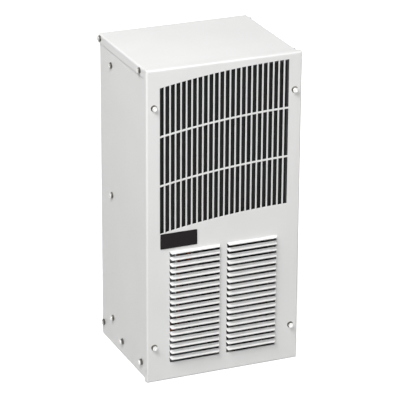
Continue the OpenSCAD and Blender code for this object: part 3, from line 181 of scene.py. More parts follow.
class CoolingUnitCover(bpy.types.PropertyGroup):
    """Sizes of the folded front cover, its grille and its louvres."""

    width: length("Width", "Width over the front cover", COVER_HIGH[0] - COVER_LOW[0])
    height: length("Height", "Height of the front cover", COVER_HIGH[2] - COVER_LOW[2])
    sheet: length("Sheet", "Thickness of the casing sheet", 1.2)
    fold: length("Fold radius", "Outer radius of the cover's folds", 2.6)
    flange: length("Flange", "Depth of the cover over its flange", 9.0)
    slot_width: length("Slot width", "Width of one slot of the grille", 5.65)
    slot_pitch: length("Slot pitch", "Distance between neighbouring slots", 7.53)
    slot_length: length("Slot length", "Length of one row of slots", 64.45)
    crossbar: length("Crossbar", "Height of the bars between the rows of slots", 2.35)
    arc_radius: length("Arc radius", "Radius of the arcs on which the slots end", 1070.0)
    arc_apex: length("Arc apex", "Place across the cover where the arcs are highest", 97.4)
    arc_drop: length("Arc drop", "Distance from the cover's top to the highest slot end", 8.6)
    louvre_pitch: length("Louvre pitch", "Distance between neighbouring louvres", 8.83)
    louvre_length: length("Louvre length", "Length of a louvre at its fold", 72.0)
    louvre_gap: length("Bank gap", "Plain strip between the two banks of louvres", 8.7)
    louvre_cut: length("Louvre cut", "Height of the opening under a louvre's fold", 8.0)
    louvre_blade: length("Louvre blade", "Length of a louvre's blade, from its fold to its lip", 5.6)
    louvre_taper: length("Louvre taper", "How much a louvre narrows at each end", 2.3)
    louvre_trim: length("Louvre trim", "Gap between the opening and the lip at each end", 1.1)
    louvre_top: length("Top louvre", "Height of the highest louvre's fold", 182.8)
    louvre_fold: length("Louvre fold radius", "Inside radius of a louvre's fold", 0.8)
    edge: length("Edge radius", "Roundness of the coated sheet edges", 0.16)
    louvre_angle: bpy.props.FloatProperty(
        name="Louvre angle",
        description="How far a louvre is turned out of the sheet",
        default=math.radians(65.0),
        subtype="ANGLE",
        unit="ROTATION",
    )
    louvres: bpy.props.IntProperty(
        name="Louvres", description="Louvres in each bank", default=18, min=1
    )


class CoolingUnitScrew(bpy.types.PropertyGroup):
    """Sizes of the casing screws: hexagon heads on round washers."""

    head_radius: length("Head radius", "Radius over the corners of the hexagon", 3.7)
    head_height: length("Head height", "Height of the head over its seat", 3.4)
    washer_radius: length("Washer radius", "Radius of the washer", 4.3)
    washer_height: length("Washer height", "Thickness of the washer", 0.8)
    dish_depth: length("Dish depth", "Depth of the round dish in the head's face", 0.35)
    shank_radius: length("Shank radius", "Radius over the thread", 2.1)
    shank_length: length("Shank length", "Length under the head", 6.5)
    thread_pitch: length("Thread pitch", "Distance between the thread's turns", 1.1)


class CoolingUnitColours(bpy.types.PropertyGroup):
    """Colours of the finishes that show most."""

    casing: colour("Casing", "Powder coat of the casing", "#E4E4E3")
    plate: colour("Plate", "Satin lacquer of the plate below the grille", "#1B1819")
    foam: colour("Foam", "Closed-cell foam of the seals", "#26272A")
    filter: colour("Filter", "Fibres of the air filter", "#0A0B0C")
    compressor: colour("Compressor", "Enamel of the compressor", "#0E0F10")


class CoolingUnitStage(bpy.types.PropertyGroup):
    """Camera and lamps of the studio."""

    lens: bpy.props.FloatProperty(
        name="Lens",
        description="Focal length on a 36 mm sensor",
        default=231.13,
        unit="CAMERA",
    )
    key: bpy.props.FloatProperty(
        name="Key lamp", description="Power of the high lamp on the left", default=78.0, unit="POWER"
    )
    fill: bpy.props.FloatProperty(
        name="Front lamp", description="Power of the broad lamp in front", default=35.5, unit="POWER"
    )
    rear: bpy.props.FloatProperty(
        name="Rear lamp", description="Power of the lamp behind on the right", default=30.0, unit="POWER"
    )
    sky: bpy.props.FloatProperty(
        name="Surrounding light", description="Strength of the even light all round", default=0.01
    )


# Surfaces


def grid_quads(rows, columns, closed=False):
    """Corner numbers of a grid's cells; a closed grid joins its last column to its first."""
    number = np.arange(rows * columns).reshape(rows, columns)
    if closed:
        number = np.hstack([number, number[:, :1]])
    cells = [number[:-1, :-1], number[:-1, 1:], number[1:, 1:], number[1:, :-1]]
    return np.stack(cells, axis=-1).reshape(-1, 4)


class Shell:
    """Points and four-cornered faces gathered from several surfaces, then welded into one mesh."""

    def __init__(self):
        self.points, self.quads, self.count = [], [], 0

    def add(self, points, quads):
        """Adds one surface, its corners numbered from zero."""
        points = np.asarray(points, float).reshape(-1, 3)
        self.points.append(points)
        self.quads.append(np.asarray(quads, int).reshape(-1, 4) + self.count)
        self.count += len(points)

    def add_grid(self, points, closed=False):
        """Adds a surface given as rows by columns of points."""
        self.add(points, grid_quads(points.shape[0], points.shape[1], closed))

    def welded(self):
        """Merges points closer than a thousandth of a millimetre. A face with two corners merged
        becomes a triangle, and one with more is dropped."""
        points, quads = np.concatenate(self.points), np.concatenate(self.quads)
        _, first, place = np.unique(
            np.round(points, 3) + 0.0, axis=0, return_index=True, return_inverse=True
        )
        quads = place.reshape(-1)[quads]
        doubled = quads == np.roll(quads, -1, axis=1)
        folded = quads[doubled.sum(axis=1) == 1]
        at = np.argmax(folded == np.roll(folded, -1, axis=1), axis=1)
        order = (at[:, None] + 1 + np.arange(3)) % 4
        triangles = np.take_along_axis(folded, order, axis=1)
        return points[first], quads[~doubled.any(axis=1)], triangles

    def make(self, name, material, sharp=35.0, bevel=0.0):
        """The finished object in metres: faces turned outwards, smooth but for edges sharper than
        the given angle, with an optional edge radius."""
        points, quads, triangles = self.welded()
        mesh = bpy.data.meshes.new(name)
        mesh.from_pydata((points * MM).tolist(), [], quads.tolist() + triangles.tolist())
        work = bmesh.new()
        work.from_mesh(mesh)
        bmesh.ops.recalc_face_normals(work, faces=work.faces)
        work.to_mesh(mesh)
        work.free()
        mesh.shade_smooth()
        mesh.set_sharp_from_angle(angle=math.radians(sharp))
        mesh.materials.append(material)
        piece = bpy.data.objects.new(name, mesh)
        bpy.context.scene.collection.objects.link(piece)
        if bevel:
            rounding = piece.modifiers.new("edge radius", "BEVEL")
            rounding.width, rounding.segments = bevel * MM, 2
            rounding.limit_method, rounding.angle_limit = "ANGLE", math.radians(sharp)
            rounding.use_clamp_overlap = True
            even = piece.modifiers.new("even shading", "WEIGHTED_NORMAL")
            even.keep_sharp = False
        return piece


def pierced_sheet(shell, x, z, front, back, kept, hinge_rows=(), rim=True):
    """A flat sheet with openings. x and z are rows by columns of places, kept says which cells are
    metal. Front and back faces fill the kept cells, and a wall stands wherever a kept cell meets an
    open one, but not along the hinge rows, where a louvre carries on from the sheet."""
    rows, columns = x.shape
    front_points = np.stack([x, np.broadcast_to(front, x.shape), z], axis=-1)
    back_points = np.stack([x, np.broadcast_to(back, x.shape), z], axis=-1)
    number = np.arange(rows * columns).reshape(rows, columns)
    far = rows * columns
    quads = grid_quads(rows, columns)[kept.reshape(-1)]
    faces = [quads, quads[:, ::-1] + far]
    padded = np.pad(kept, 1, constant_values=not rim)
    if not rim:
        padded[0, :], padded[-1, :] = padded[1, :], padded[-2, :]
        padded[:, 0], padded[:, -1] = padded[:, 1], padded[:, -2]
    upright = (padded[1:-1, :-1] != padded[1:-1, 1:]).nonzero()
    a, b = number[upright[0], upright[1]], number[upright[0] + 1, upright[1]]
    faces.append(np.stack([a, b, b + far, a + far], axis=1))
    level = padded[:-1, 1:-1] != padded[1:, 1:-1]
    level[list(hinge_rows), :] = False
    level = level.nonzero()
    a, b = number[level[0], level[1]], number[level[0], level[1] + 1]
    faces.append(np.stack([a, b, b + far, a + far], axis=1))
    shell.add(
        np.concatenate([front_points.reshape(-1, 3), back_points.reshape(-1, 3)]),
        np.concatenate(faces),
    )


def spread_columns(first, second, margin, edge_x):
    """Places across the cover: its two edges, two groups of columns, and a column at the margin on
    each side of a group, so that the rounding of its openings shades nothing beyond."""
    groups = [np.concatenate([[row[0] - margin], row, [row[-1] + margin]]) for row in (first, second)]
    return np.concatenate([[-edge_x], *groups, [edge_x]])


def rolling(x, z, size, depth, seed):
    """Soft unevenness: the mean of three sine waves whose directions differ, about size long."""
    k = 2 * math.pi / size
    waves = [np.sin(k * (across * x + up * z) + phase * seed) for across, up, phase in ROLLING_WAVES]
    return depth * sum(waves) / len(waves)


def middles(line):
    """The middles between neighbouring values."""
    return (line[:-1] + line[1:]) / 2


def slab(x, z, front, back, kept):
    """A pierced sheet by itself."""
    shell = Shell()
    pierced_sheet(shell, x, z, front, back, kept)
    return shell


def in_mm(sizes, left_out=()):
    """A group's lengths by name, in millimetres."""
    return {key: getattr(sizes, key) / MM for key in sizes.__annotations__ if key not in left_out}


def louvre_places(s, count):
    """Places along a louvre from its middle, the distance of a bank's middle from the cover's, and
    the heights of the folds."""
    half = s["louvre_length"] / 2
    fold_z = s["louvre_top"] - s["louvre_pitch"] * np.arange(count)[::-1]
    return np.linspace(-half, half, SLOTS), half + s["louvre_gap"] / 2, fold_z


def cover_face(shell, s, count):
    """The cover's flat face, a grid with openings. Returns the places of its rows and columns.

    Above, the columns are the edges of the slots and the rows are arcs: the circle of the arc
    radius whose highest point is at the apex, moved down by a slot length and a crossbar for each
    row. Below, the columns divide the two louvre banks and the rows are the folds and the cut
    lines, at which the columns of a bank draw in by the taper less the trim."""
    edge_x, low_z, high_z = s["width"] / 2 - s["fold"], s["fold"], s["height"] - s["fold"]
    bar = s["slot_pitch"] - s["slot_width"]
    left = (np.arange(SLOTS) - SLOTS / 2) * s["slot_pitch"] + bar / 2
    sides = np.split(np.stack([left, left + s["slot_width"]], 1).ravel(), 2)
    slot_x = spread_columns(sides[0], sides[1], bar / 3, edge_x)

    bank, centre, fold_z = louvre_places(s, count)
    drawn_in = s["louvre_taper"] - s["louvre_trim"]
    narrow = bank * (1 - drawn_in / bank[-1])
    fold_x = spread_columns(bank - centre, bank + centre, GUARD, edge_x)
    cut_x = spread_columns(narrow - centre, narrow + centre, GUARD + drawn_in, edge_x)
    is_fold = np.arange(2 * count)[:, None] % 2
    louvre_x = np.where(is_fold, fold_x, cut_x)
    louvre_z = np.stack([fold_z - s["louvre_cut"], fold_z], 1).ravel()
    level = np.concatenate([[low_z, louvre_z[0] - GUARD], louvre_z, [fold_z[-1] + GUARD]])

    row_step = s["slot_length"] + s["crossbar"]
    tops = s["height"] - s["arc_drop"] - s["arc_radius"] - np.arange(SLOT_ROWS)[::-1] * row_step
    arc_z = np.stack([tops - s["slot_length"], tops], 1).reshape(-1, 1)
    rise = np.sqrt(s["arc_radius"] ** 2 - (slot_x - s["arc_apex"]) ** 2)
    x = np.vstack([fold_x, fold_x, louvre_x, fold_x, np.tile(slot_x, (2 * SLOT_ROWS + 1, 1))])
    level_z = np.repeat(level[:, None], fold_x.size, 1)
    z = np.vstack([level_z, arc_z + rise, np.full_like(slot_x, high_z)])

    kept = np.ones_like(x[1:, 1:], bool)
    bank_cells = np.r_[2 : SLOTS + 1, SLOTS + 4 : 2 * SLOTS + 3]
    slot_cells = np.r_[2 : SLOTS + 2 : 2, SLOTS + 4 : 2 * SLOTS + 4 : 2]
    kept[np.ix_(np.arange(2, 2 * count + 1, 2), bank_cells)] = False
    kept[np.ix_(2 * count + 3 + 2 * np.arange(SLOT_ROWS), slot_cells)] = False
    hinges = np.arange(3, 2 * count + 2, 2)
    pierced_sheet(shell, x, z, FACE_Y, FACE_Y + s["sheet"], kept, hinges, rim=False)
    return x, z


def cover_fold(shell, s, x, z):
    """The fold's quarter circle and the flange, carried along the outline of the face and mitred
    at its corners."""
    rim_x, rim_z = (
        np.concatenate([grid[0, :-1], grid[:-1, -1], grid[-1, :0:-1], grid[:0:-1, 0]])
        for grid in (x, z)
    )
    out_x = np.where(np.abs(rim_x) > x.max() - TOUCH, np.sign(rim_x), 0.0)
    out_z = 1.0 * (rim_z > z.max() - TOUCH) - 1.0 * (rim_z < z.min() + TOUCH)
    inner = s["fold"] - s["sheet"]
    out = [s["fold"] * np.sin(QUARTER), [s["fold"], inner], inner * np.sin(QUARTER[::-1])]
    out = np.concatenate(out)[:, None]
    outer_deep, inner_deep = s["fold"] * (1 - np.cos(QUARTER)), s["fold"] - inner * np.cos(QUARTER[::-1])
    deep = np.concatenate([outer_deep, [s["flange"]] * 2, inner_deep])
    deep_y = FACE_Y + np.repeat(deep[:, None], rim_x.size, 1)
    shell.add_grid(np.stack([rim_x + out * out_x, deep_y, rim_z + out * out_z], axis=-1), closed=True)


def louvres(shell, s, angle, count):
    """The louvres. Each carries the sheet on from its fold line: an arc of the fold radius through
    the louvre angle, then a straight blade. It narrows evenly from the fold line to the lip, by the
    taper at each end."""
    bank, centre, fold_z = louvre_places(s, count)
    steps = np.linspace(0, angle, 7)
    middle_r = s["louvre_fold"] + s["sheet"] / 2
    reach = s["louvre_blade"] - middle_r * angle
    run = np.array([reach / 2, reach])
    sections = []
    for radius in (s["louvre_fold"], s["louvre_fold"] + s["sheet"]):
        arc_y, arc_z = radius * np.cos(steps) - s["louvre_fold"], -radius * np.sin(steps)
        blade_y = np.concatenate([arc_y, arc_y[-1] - run * math.sin(angle)])
        blade_z = np.concatenate([arc_z, arc_z[-1] - run * math.cos(angle)])
        sections.append((blade_y[:, None], blade_z[:, None]))
    along = np.concatenate([middle_r * steps, [s["louvre_blade"] - reach / 2, s["louvre_blade"]]])
    spread = 1 - s["louvre_taper"] / bank[-1] * along[:, None] / s["louvre_blade"]
    for side in (-centre, centre):
        for fold in fold_z:
            x = side + spread * bank
            outer, inner = (
                np.stack([x, FACE_Y + y + 0 * x, fold + h + 0 * x], axis=-1) for y, h in sections
            )
            shell.add_grid(outer)
            shell.add_grid(inner)
            shell.add_grid(np.stack([outer[-1], inner[-1]]))
            for end in (0, -1):
                shell.add_grid(np.stack([outer[:, end], inner[:, end]]))


def front_cover(sizes):
    """The cover as one closed sheet: its face, the fold and flange round it, and the louvres that
    carry on from it."""
    s = in_mm(sizes, ("louvre_angle", "louvres"))
    shell = Shell()
    x, z = cover_face(shell, s, sizes.louvres)
    cover_fold(shell, s, x, z)
    louvres(shell, s, sizes.louvre_angle, sizes.louvres)
    return shell


def hexagon_screw(sizes):
    """One screw as a surface of radius and turn, its seat at height 0.

    From the axis outwards and down: the dish, the face, the cone that takes the corners off the
    hexagon, the six flats, the washer with its rolled edge, the seat and the shank. A flat's
    distance from the axis is half the width over the flats, divided by the cosine of the turn from
    the flat's middle. The shank's radius swells and shrinks with height plus turn: a thread."""
    s = in_mm(sizes)
    turns = np.linspace(0, 2 * math.pi, SCREW_TURNS, endpoint=False)
    flat = s["head_radius"] * math.cos(math.pi / 6)
    hexagon = flat / np.cos(turns % (math.pi / 3) - math.pi / 6)
    face, top, washer = FACE_SHARE * flat, s["head_height"], s["washer_height"]
    corner = top - (hexagon - face) * math.tan(math.pi / 6)
    roll = np.linspace(0, 1, 5) * math.pi / 2
    roll_r = s["washer_radius"] - WASHER_ROLL * (1 - np.sin(roll))
    roll_h = washer - WASHER_ROLL * (1 - np.cos(roll))
    rings = [
        (0.0, top - s["dish_depth"]),
        (DISH_FLOOR_SHARE * flat, top - s["dish_depth"]),
        (DISH_RIM_SHARE * flat, top),
        (face, top),
        (hexagon, corner),
        (hexagon, corner - HEAD_BAND),
        (hexagon, washer + HEAD_FILLET),
        (hexagon + HEAD_FILLET, washer),
        *zip(roll_r, roll_h),
        (s["washer_radius"], 0.0),
        (s["shank_radius"], 0.0),
    ]
    ring_r, ring_h = (
        np.stack([np.broadcast_to(ring[part], turns.shape) for ring in rings]) for part in (0, 1)
    )
    down = np.linspace(0, -s["shank_length"], SHANK_ROWS)[:, None]
    ridge = np.abs(((down / s["thread_pitch"] - turns / (2 * math.pi)) % 1) * 2 - 1)
    tip = np.clip((down + s["shank_length"] + TIP_CUT) / TIP_LENGTH, 0, 1)
    shank_r = s["shank_radius"] * (ROOT_SHARE + (1 - ROOT_SHARE) * ridge) * tip
    shank_h = np.repeat(down, turns.size, 1)
    all_r = np.vstack([ring_r, shank_r, np.zeros((1, turns.size))])
    all_h = np.vstack([ring_h, shank_h, shank_h[-1:]])
    return np.stack([all_r * np.cos(turns), all_r * np.sin(turns), all_h], axis=-1)


def placed_screws(sizes, places):
    """Copies of the screw. Each place is a point, the direction of the head and the head's turn;
    the screw's own height is laid along that direction."""
    shape = hexagon_screw(sizes)
    shell = Shell()
    for point, direction, turn in places:
        out = np.array(direction, float)
        side = np.cross([0.0, 0.0, 1.0], out)
        up = np.cross(out, side)
        c, s = math.cos(turn), math.sin(turn)
        basis = np.array([c * side + s * up, c * up - s * side, out])
        shell.add_grid(shape @ basis + np.array(point), closed=True)
    return shell


def paint_dark_side_reflection(piece, sizes, places):
    """Writes the attribute drawn, the mask of a painted dark reflection: one on the sides of the heads and
    their washers, nothing on the faces. A point's height over its seat is measured along the nearest screw."""
    points = np.empty(len(piece.data.vertices) * 3)
    piece.data.vertices.foreach_get("co", points)
    points = points.reshape(-1, 3) / MM
    seats = np.array([place[0] for place in places])
    outs = np.array([place[1] for place in places], float)
    near = np.linalg.norm(points[:, None] - seats, axis=2).argmin(axis=1)
    height = ((points - seats[near]) * outs[near]).sum(axis=1)
    sides_top = sizes.head_height / MM - DARK_REFLECTION_TOP
    share = np.clip((sides_top - height) / DARK_REFLECTION_BLEND, 0, 1) * (height > -DARK_REFLECTION_BLEND)
    piece.data.attributes.new("drawn", "FLOAT", "POINT").data.foreach_set("value", share)


def foam_slab(low, high, notches):
    """A foam slab between two corners, with rectangular notches cut for the lines that pass. Its
    grid has even steps and a line at each notch's edge, and both faces swell and sink a little, as
    soft foam does after it is cut."""
    lines = []
    for axis, pair in ((0, [0, 1]), (2, [2, 3])):
        even = np.linspace(low[axis], high[axis], int((high[axis] - low[axis]) / FOAM_STEP) + 1)
        cuts = np.clip(np.array(notches)[:, pair].ravel(), low[axis], high[axis])
        near = np.abs(even[1:-1, None] - cuts).min(axis=1) < FOAM_STEP / 4
        lines.append(np.unique(np.concatenate([even[[0, -1]], even[1:-1][~near], cuts])))
    x, z = np.meshgrid(*lines)
    kept = np.ones_like(x[1:, 1:], bool)
    mid_x, mid_z = (middles(line) for line in lines)
    for left, right, under, over in notches:
        open_x, open_z = (mid_x > left) & (mid_x < right), (mid_z > under) & (mid_z < over)
        kept &= ~(open_z[:, None] & open_x)
    front = low[1] + FOAM_RELIEF + rolling(x, z, size=41.0, depth=FOAM_RELIEF, seed=0.7)
    back = high[1] - FOAM_RELIEF + rolling(x, z, size=37.0, depth=FOAM_RELIEF, seed=1.9)
    return slab(x, z, front, back, kept)


def strip_lines(starts, steps):
    """Grid lines: five across each strip of the gasket, and the given numbers between strips."""
    across = np.linspace(0, GASKET_WIDTH, 5)
    lines = [starts[0] + across]
    for before, after, count in zip(starts, starts[1:], steps):
        lines += [np.linspace(before + GASKET_WIDTH, after, count)[1:-1], after + across]
    return np.concatenate(lines)


def gasket_ring(low, high):
    """The mounting gasket: strips of foam along the outline and one across, on lines that fall on
    the strips' edges. Its face to the enclosure is crowned by the root of half a sine wave across
    each strip's width."""
    x_starts = [low[0], high[0] - GASKET_WIDTH]
    z_starts = [low[2], GASKET_BAR, high[2] - GASKET_WIDTH]
    x_lines, z_lines = strip_lines(x_starts, [25]), strip_lines(z_starts, [27, 19])
    x, z = np.meshgrid(x_lines, z_lines)

    def on_strip(value, starts):
        return np.any([(value > start) & (value < start + GASKET_WIDTH) for start in starts], axis=0)

    def crown(value, starts):
        shares = [np.clip((value - start) / GASKET_WIDTH, 0, 1) for start in starts]
        return np.max([np.sin(np.pi * share) for share in shares], axis=0)

    kept = on_strip(middles(x_lines), x_starts) | on_strip(middles(z_lines), z_starts)[:, None]
    hump = np.sqrt(np.maximum(crown(x, x_starts), crown(z, z_starts)))
    return slab(x, z, low[1], high[1] - GASKET_SINK + GASKET_CROWN * hump, kept)


def filter_pad(low, high):
    """The filter pad: a thin slab of fibre pressed into upright ribs about 5 mm apart. Its faces
    follow a rounded wave across the width, with a slower unevenness on top."""
    x, z = np.meshgrid(np.linspace(low[0], high[0], RIBS * 6 + 1), np.linspace(low[2], high[2], 61))
    phase = (x - low[0]) / (high[0] - low[0]) * RIBS * 2 * math.pi
    wave = 1 - np.sqrt(np.abs(np.sin(phase / 2)))
    edge = np.minimum.reduce([x - low[0], high[0] - x, z - low[2], high[2] - z])
    groove = wave * np.clip(edge / RIB_FADE, 0, 1)
    thick = high[1] - low[1]
    front_roll = rolling(x, z, size=53.0, depth=PAD_RELIEF, seed=0.4)
    back_roll = rolling(x, z, size=47.0, depth=PAD_RELIEF, seed=1.3)
    front = low[1] + thick * (SINK_SHARE + FRONT_SHARE * groove) + front_roll
    back = high[1] - thick * (SINK_SHARE + BACK_SHARE * groove) - back_roll
    return slab(x, z, front, back, np.ones_like(x[1:, 1:], bool))


def wavy_fins(low, high):
    """A stack of fins. Across its depth each fin swings sideways as a sine wave, and the strip
    between its two sides is closed along all four edges."""
    count = int((high[0] - low[0]) / FIN_PITCH)
    deep = np.linspace(0, 1, 17)
    swing = FIN_SWING * np.sin(deep * FIN_SWELLS * 2 * math.pi)
    y = low[1] + (high[1] - low[1]) * deep
    loop_x = np.concatenate([swing - FIN_GAUGE / 2, swing[::-1] + FIN_GAUGE / 2])
    loop_y = np.tile(np.concatenate([y, y[::-1]]), (2, 1))
    loop = loop_x.size
    height = np.repeat([[low[2]], [high[2]]], loop, 1)
    step = np.arange(deep.size - 1)
    cap = np.stack([step, step + 1, loop - 2 - step, loop - 1 - step], 1)
    quads = np.concatenate([grid_quads(2, loop, closed=True), cap, cap[:, ::-1] + loop])
    shell = Shell()
    for place in np.linspace(low[0] + FIN_INSET, high[0] - FIN_INSET, count):
        shell.add(np.stack([np.tile(place + loop_x, (2, 1)), loop_y, height], axis=-1), quads)
    return shell


def rounded_plate(low, high):
    """A thin plate. Its outline is a rectangle whose corners are quarter circles, and rows of the
    grid are that outline drawn in towards the middle; the front edge rolls over a quarter circle."""
    half = np.array([high[0] - low[0], high[2] - low[2]]) / 2
    middle = np.array([high[0] + low[0], high[2] + low[2]]) / 2
    thick = high[1] - low[1]
    roll = min(PLATE_ROLL, thick / 2)
    insets = np.append(roll * (1 - np.sin(QUARTER)), 0.0)
    depths = np.append(roll * (1 - np.cos(QUARTER)), thick)
    outlines = []
    for inset, depth in zip(insets, depths):
        arcs = []
        for k, corner in enumerate([(1, 1), (-1, 1), (-1, -1), (1, -1)]):
            turn = QUARTER + k * math.pi / 2
            arc = np.stack([np.cos(turn), np.sin(turn)], 1)
            arcs.append((half - PLATE_CORNER) * corner + (PLATE_CORNER - inset) * arc)
        across, up = (np.concatenate(arcs) + middle).T
        outlines.append(np.column_stack([across, np.full(across.size, low[1] + depth), up]))
    front = np.array([middle[0], low[1], middle[1]])
    back = np.array([middle[0], high[1], middle[1]])
    before = [front + (outlines[0] - front) * share for share in (0.0, PLATE_SHARE)]
    behind = [back + (outlines[-1] - back) * share for share in (PLATE_SHARE, 0.0)]
    shell = Shell()
    shell.add_grid(np.stack(before + outlines + behind), closed=True)
    return shell


# Patterns


def add_node(tree, kind, inputs=None, **settings):
    """Adds one shader node. Settings are its own properties; each input is a value or the output
    that is linked to it."""
    node = tree.nodes.new("ShaderNode" + kind)
    for key, value in settings.items():
        setattr(node, key, value)
    for key, value in (inputs or {}).items():
        if isinstance(value, bpy.types.NodeSocket):
            tree.links.new(value, node.inputs[key])
        else:
            node.inputs[key].default_value = value
    return node


def new_material(name):
    """An empty node material and the object coordinates its pattern reads, in metres."""
    material = bpy.data.materials.new(name)
    material.use_nodes = True
    tree = material.node_tree
    tree.nodes.clear()
    return material, tree, add_node(tree, "TexCoord").outputs["Object"]


def close_material(tree, colour, roughness, normal, others):
    """Puts the surface shader on the material's output."""
    inputs = {"Base Color": colour, "Roughness": roughness, "Normal": normal} | others
    shader = add_node(tree, "BsdfPrincipled", inputs)
    add_node(tree, "OutputMaterial", {"Surface": shader.outputs["BSDF"]})


def noise(tree, place, size_mm, detail, roughness=0.5, stretch=None, turn=(0.0, 0.0, 0.0)):
    """A noise pattern's value, its marks about the given size. A stretch gives shares of the scale
    across, deep and up, so that a small share draws the marks out that way."""
    scale = 1 / (size_mm * MM)
    if stretch:
        scales = tuple(scale * share for share in stretch)
        run = add_node(tree, "Mapping", {"Vector": place, "Rotation": turn, "Scale": scales})
        place, scale = run.outputs["Vector"], 1.0
    inputs = {"Vector": place, "Scale": scale, "Detail": detail, "Roughness": roughness}
    return add_node(tree, "TexNoise", inputs).outputs["Fac"]


def blend(tree, share, dark, light, low=0.0, high=1.0):
    """A colour that runs from dark to light while the share runs from low to high."""
    ramp = add_node(tree, "ValToRGB", {"Fac": share})
    first, last = ramp.color_ramp.elements
    first.position, first.color = low, dark
    last.position, last.color = high, light
    return ramp.outputs["Color"]


def covered(tree, base, cover, share):
    """The base colour, covered by another by the given share."""
    inputs = {"Factor": share, "A": base, "B": cover}
    return add_node(tree, "Mix", inputs, data_type="RGBA").outputs["Result"]


def mapped(tree, value, low, high, start=0.0, end=1.0):
    """A value that runs from low to high while the given one runs from start to end."""
    inputs = {"Value": value, "From Min": start, "From Max": end, "To Min": low, "To Max": high}
    return add_node(tree, "MapRange", inputs).outputs["Result"]


def larger(tree, one, other):
    """The larger of two values."""
    return add_node(tree, "Math", {0: one, 1: other}, operation="MAXIMUM").outputs["Value"]


def relief(tree, height, strength, deep_mm, edge_mm=0.0):
    """The surface's direction over a fine relief, with its edges softened where asked."""
    inputs = {"Height": height, "Strength": strength, "Distance": deep_mm * MM}
    if edge_mm:
        soft = add_node(tree, "Bevel", {"Radius": edge_mm * MM}, samples=4)
        inputs["Normal"] = soft.outputs["Normal"]
    return add_node(tree, "Bump", inputs).outputs["Normal"]


def shade(values, share):
    """A linear colour made lighter or darker by a share."""
    return (*(min(1.0, c * share) for c in values[:3]), 1.0)


# Finishes

METAL = {"Metallic": 1.0}
# Blender's wave texture repeats once in this length over its scale
WAVE_REPEAT = 0.314


def powder_coat(name, base, rough):
    """Polyester powder coat, baked on: even and pale, its gloss broken by a fine orange peel. The
    real peel is about 1.5 mm across and is drawn twice as coarse, so that it shows."""
    material, tree, place = new_material(name)
    cloud = noise(tree, place, size_mm=90.0, detail=2.0)
    peel = noise(tree, place, size_mm=3.2, detail=1.5, roughness=0.45)
    colour = blend(tree, cloud, shade(base, 0.975), shade(base, 1.015), low=0.3, high=0.7)
    gloss = mapped(tree, peel, rough - 0.04, rough + 0.05, start=0.3, end=0.7)
    normal = relief(tree, peel, strength=0.35, deep_mm=0.035, edge_mm=0.5)
    close_material(tree, colour, gloss, normal, {"IOR": 1.5})
    return material


def satin_lacquer(name, base):
    """Satin black lacquer on thin aluminium: near black, with a soft broad gloss and the faint
    level grain of the rolled sheet under it."""
    material, tree, place = new_material(name)
    grain = noise(tree, place, size_mm=1.0, detail=3.0, stretch=(0.06, 0.9, 1.6))
    colour = blend(tree, grain, shade(base, 0.85), shade(base, 1.2))
    gloss = mapped(tree, grain, 0.34, 0.5)
    normal = relief(tree, grain, strength=0.15, deep_mm=0.02)
    close_material(tree, colour, gloss, normal, {"Specular IOR Level": 0.085})
    return material


def spangled_zinc(name):
    """Hot-dip galvanised steel sheet: grey metal broken into crystal flakes about 9 mm across, each
    with its own grey and its own gloss. Noise with marks about 6 mm long pushes their outlines by
    up to 3.5 mm."""
    material, tree, place = new_material(name)
    wander = add_node(tree, "TexNoise", {"Vector": place, "Scale": 1 / (6.0 * MM), "Detail": 2.0})
    sway = {0: wander.outputs["Color"], 1: (3.5 * MM,) * 3, 2: place}
    bend = add_node(tree, "VectorMath", sway, operation="MULTIPLY_ADD").outputs["Vector"]
    flake = add_node(tree, "TexVoronoi", {"Vector": bend, "Scale": 1 / (9.0 * MM)}, feature="F1")
    value = add_node(tree, "SeparateColor", {"Color": flake.outputs["Color"]})
    colour = blend(tree, value.outputs["Red"], linear("#A3A8AB"), linear("#C6CACC"))
    gloss = mapped(tree, value.outputs["Green"], 0.32, 0.52)
    normal = relief(tree, flake.outputs["Distance"], strength=0.12, deep_mm=0.2, edge_mm=0.4)
    close_material(tree, colour, gloss, normal, METAL)
    return material


def drawn_metal(name, dark, light, rough, grain_mm, stretch=(1.0, 1.0, 1.0), tarnish=None, drawn=None):
    """Bare or plated metal whose last working left fine lines: the noise is stretched along the working
    direction. Where a tarnish colour is given, patches of it about 20 mm across dull the surface, as
    handling and heat do. A drawn colour is a painted dark reflection that covers what the attribute drawn
    marks."""
    material, tree, place = new_material(name)
    line = noise(tree, place, grain_mm, detail=3.0, stretch=stretch)
    colour = blend(tree, line, linear(dark), linear(light), low=0.25, high=0.75)
    if tarnish:
        patch = noise(tree, place, size_mm=20.0, detail=3.0)
        colour = covered(tree, colour, linear(tarnish), mapped(tree, patch, 0.0, 0.6, start=0.48, end=0.7))
    # Painted dark reflection on what the attribute drawn marks
    if drawn:
        marked = add_node(tree, "Attribute", attribute_name="drawn").outputs["Fac"]
        colour = covered(tree, colour, linear(drawn), marked)
    gloss = mapped(tree, line, rough - 0.06, rough + 0.1)
    normal = relief(tree, line, strength=0.1, deep_mm=0.03, edge_mm=0.25)
    close_material(tree, colour, gloss, normal, METAL)
    return material


def laminated_core(name):
    """Stack of electrical steel laminations: dark grey metal with a line at each sheet. The real
    sheets are 0.5 mm and each dark or light band is drawn 1.6 mm wide, so that they show."""
    material, tree, place = new_material(name)
    bands = {"Vector": place, "Scale": WAVE_REPEAT / (2 * 1.6 * MM), "Distortion": 0.4, "Detail": 1.0}
    band = add_node(tree, "TexWave", bands, bands_direction="Y", wave_profile="SIN").outputs["Fac"]
    colour = blend(tree, band, linear("#3A3D40"), linear("#7A7F83"))
    gloss = mapped(tree, band, 0.6, 0.42)
    close_material(tree, colour, gloss, relief(tree, band, strength=0.5, deep_mm=0.15), METAL)
    return material


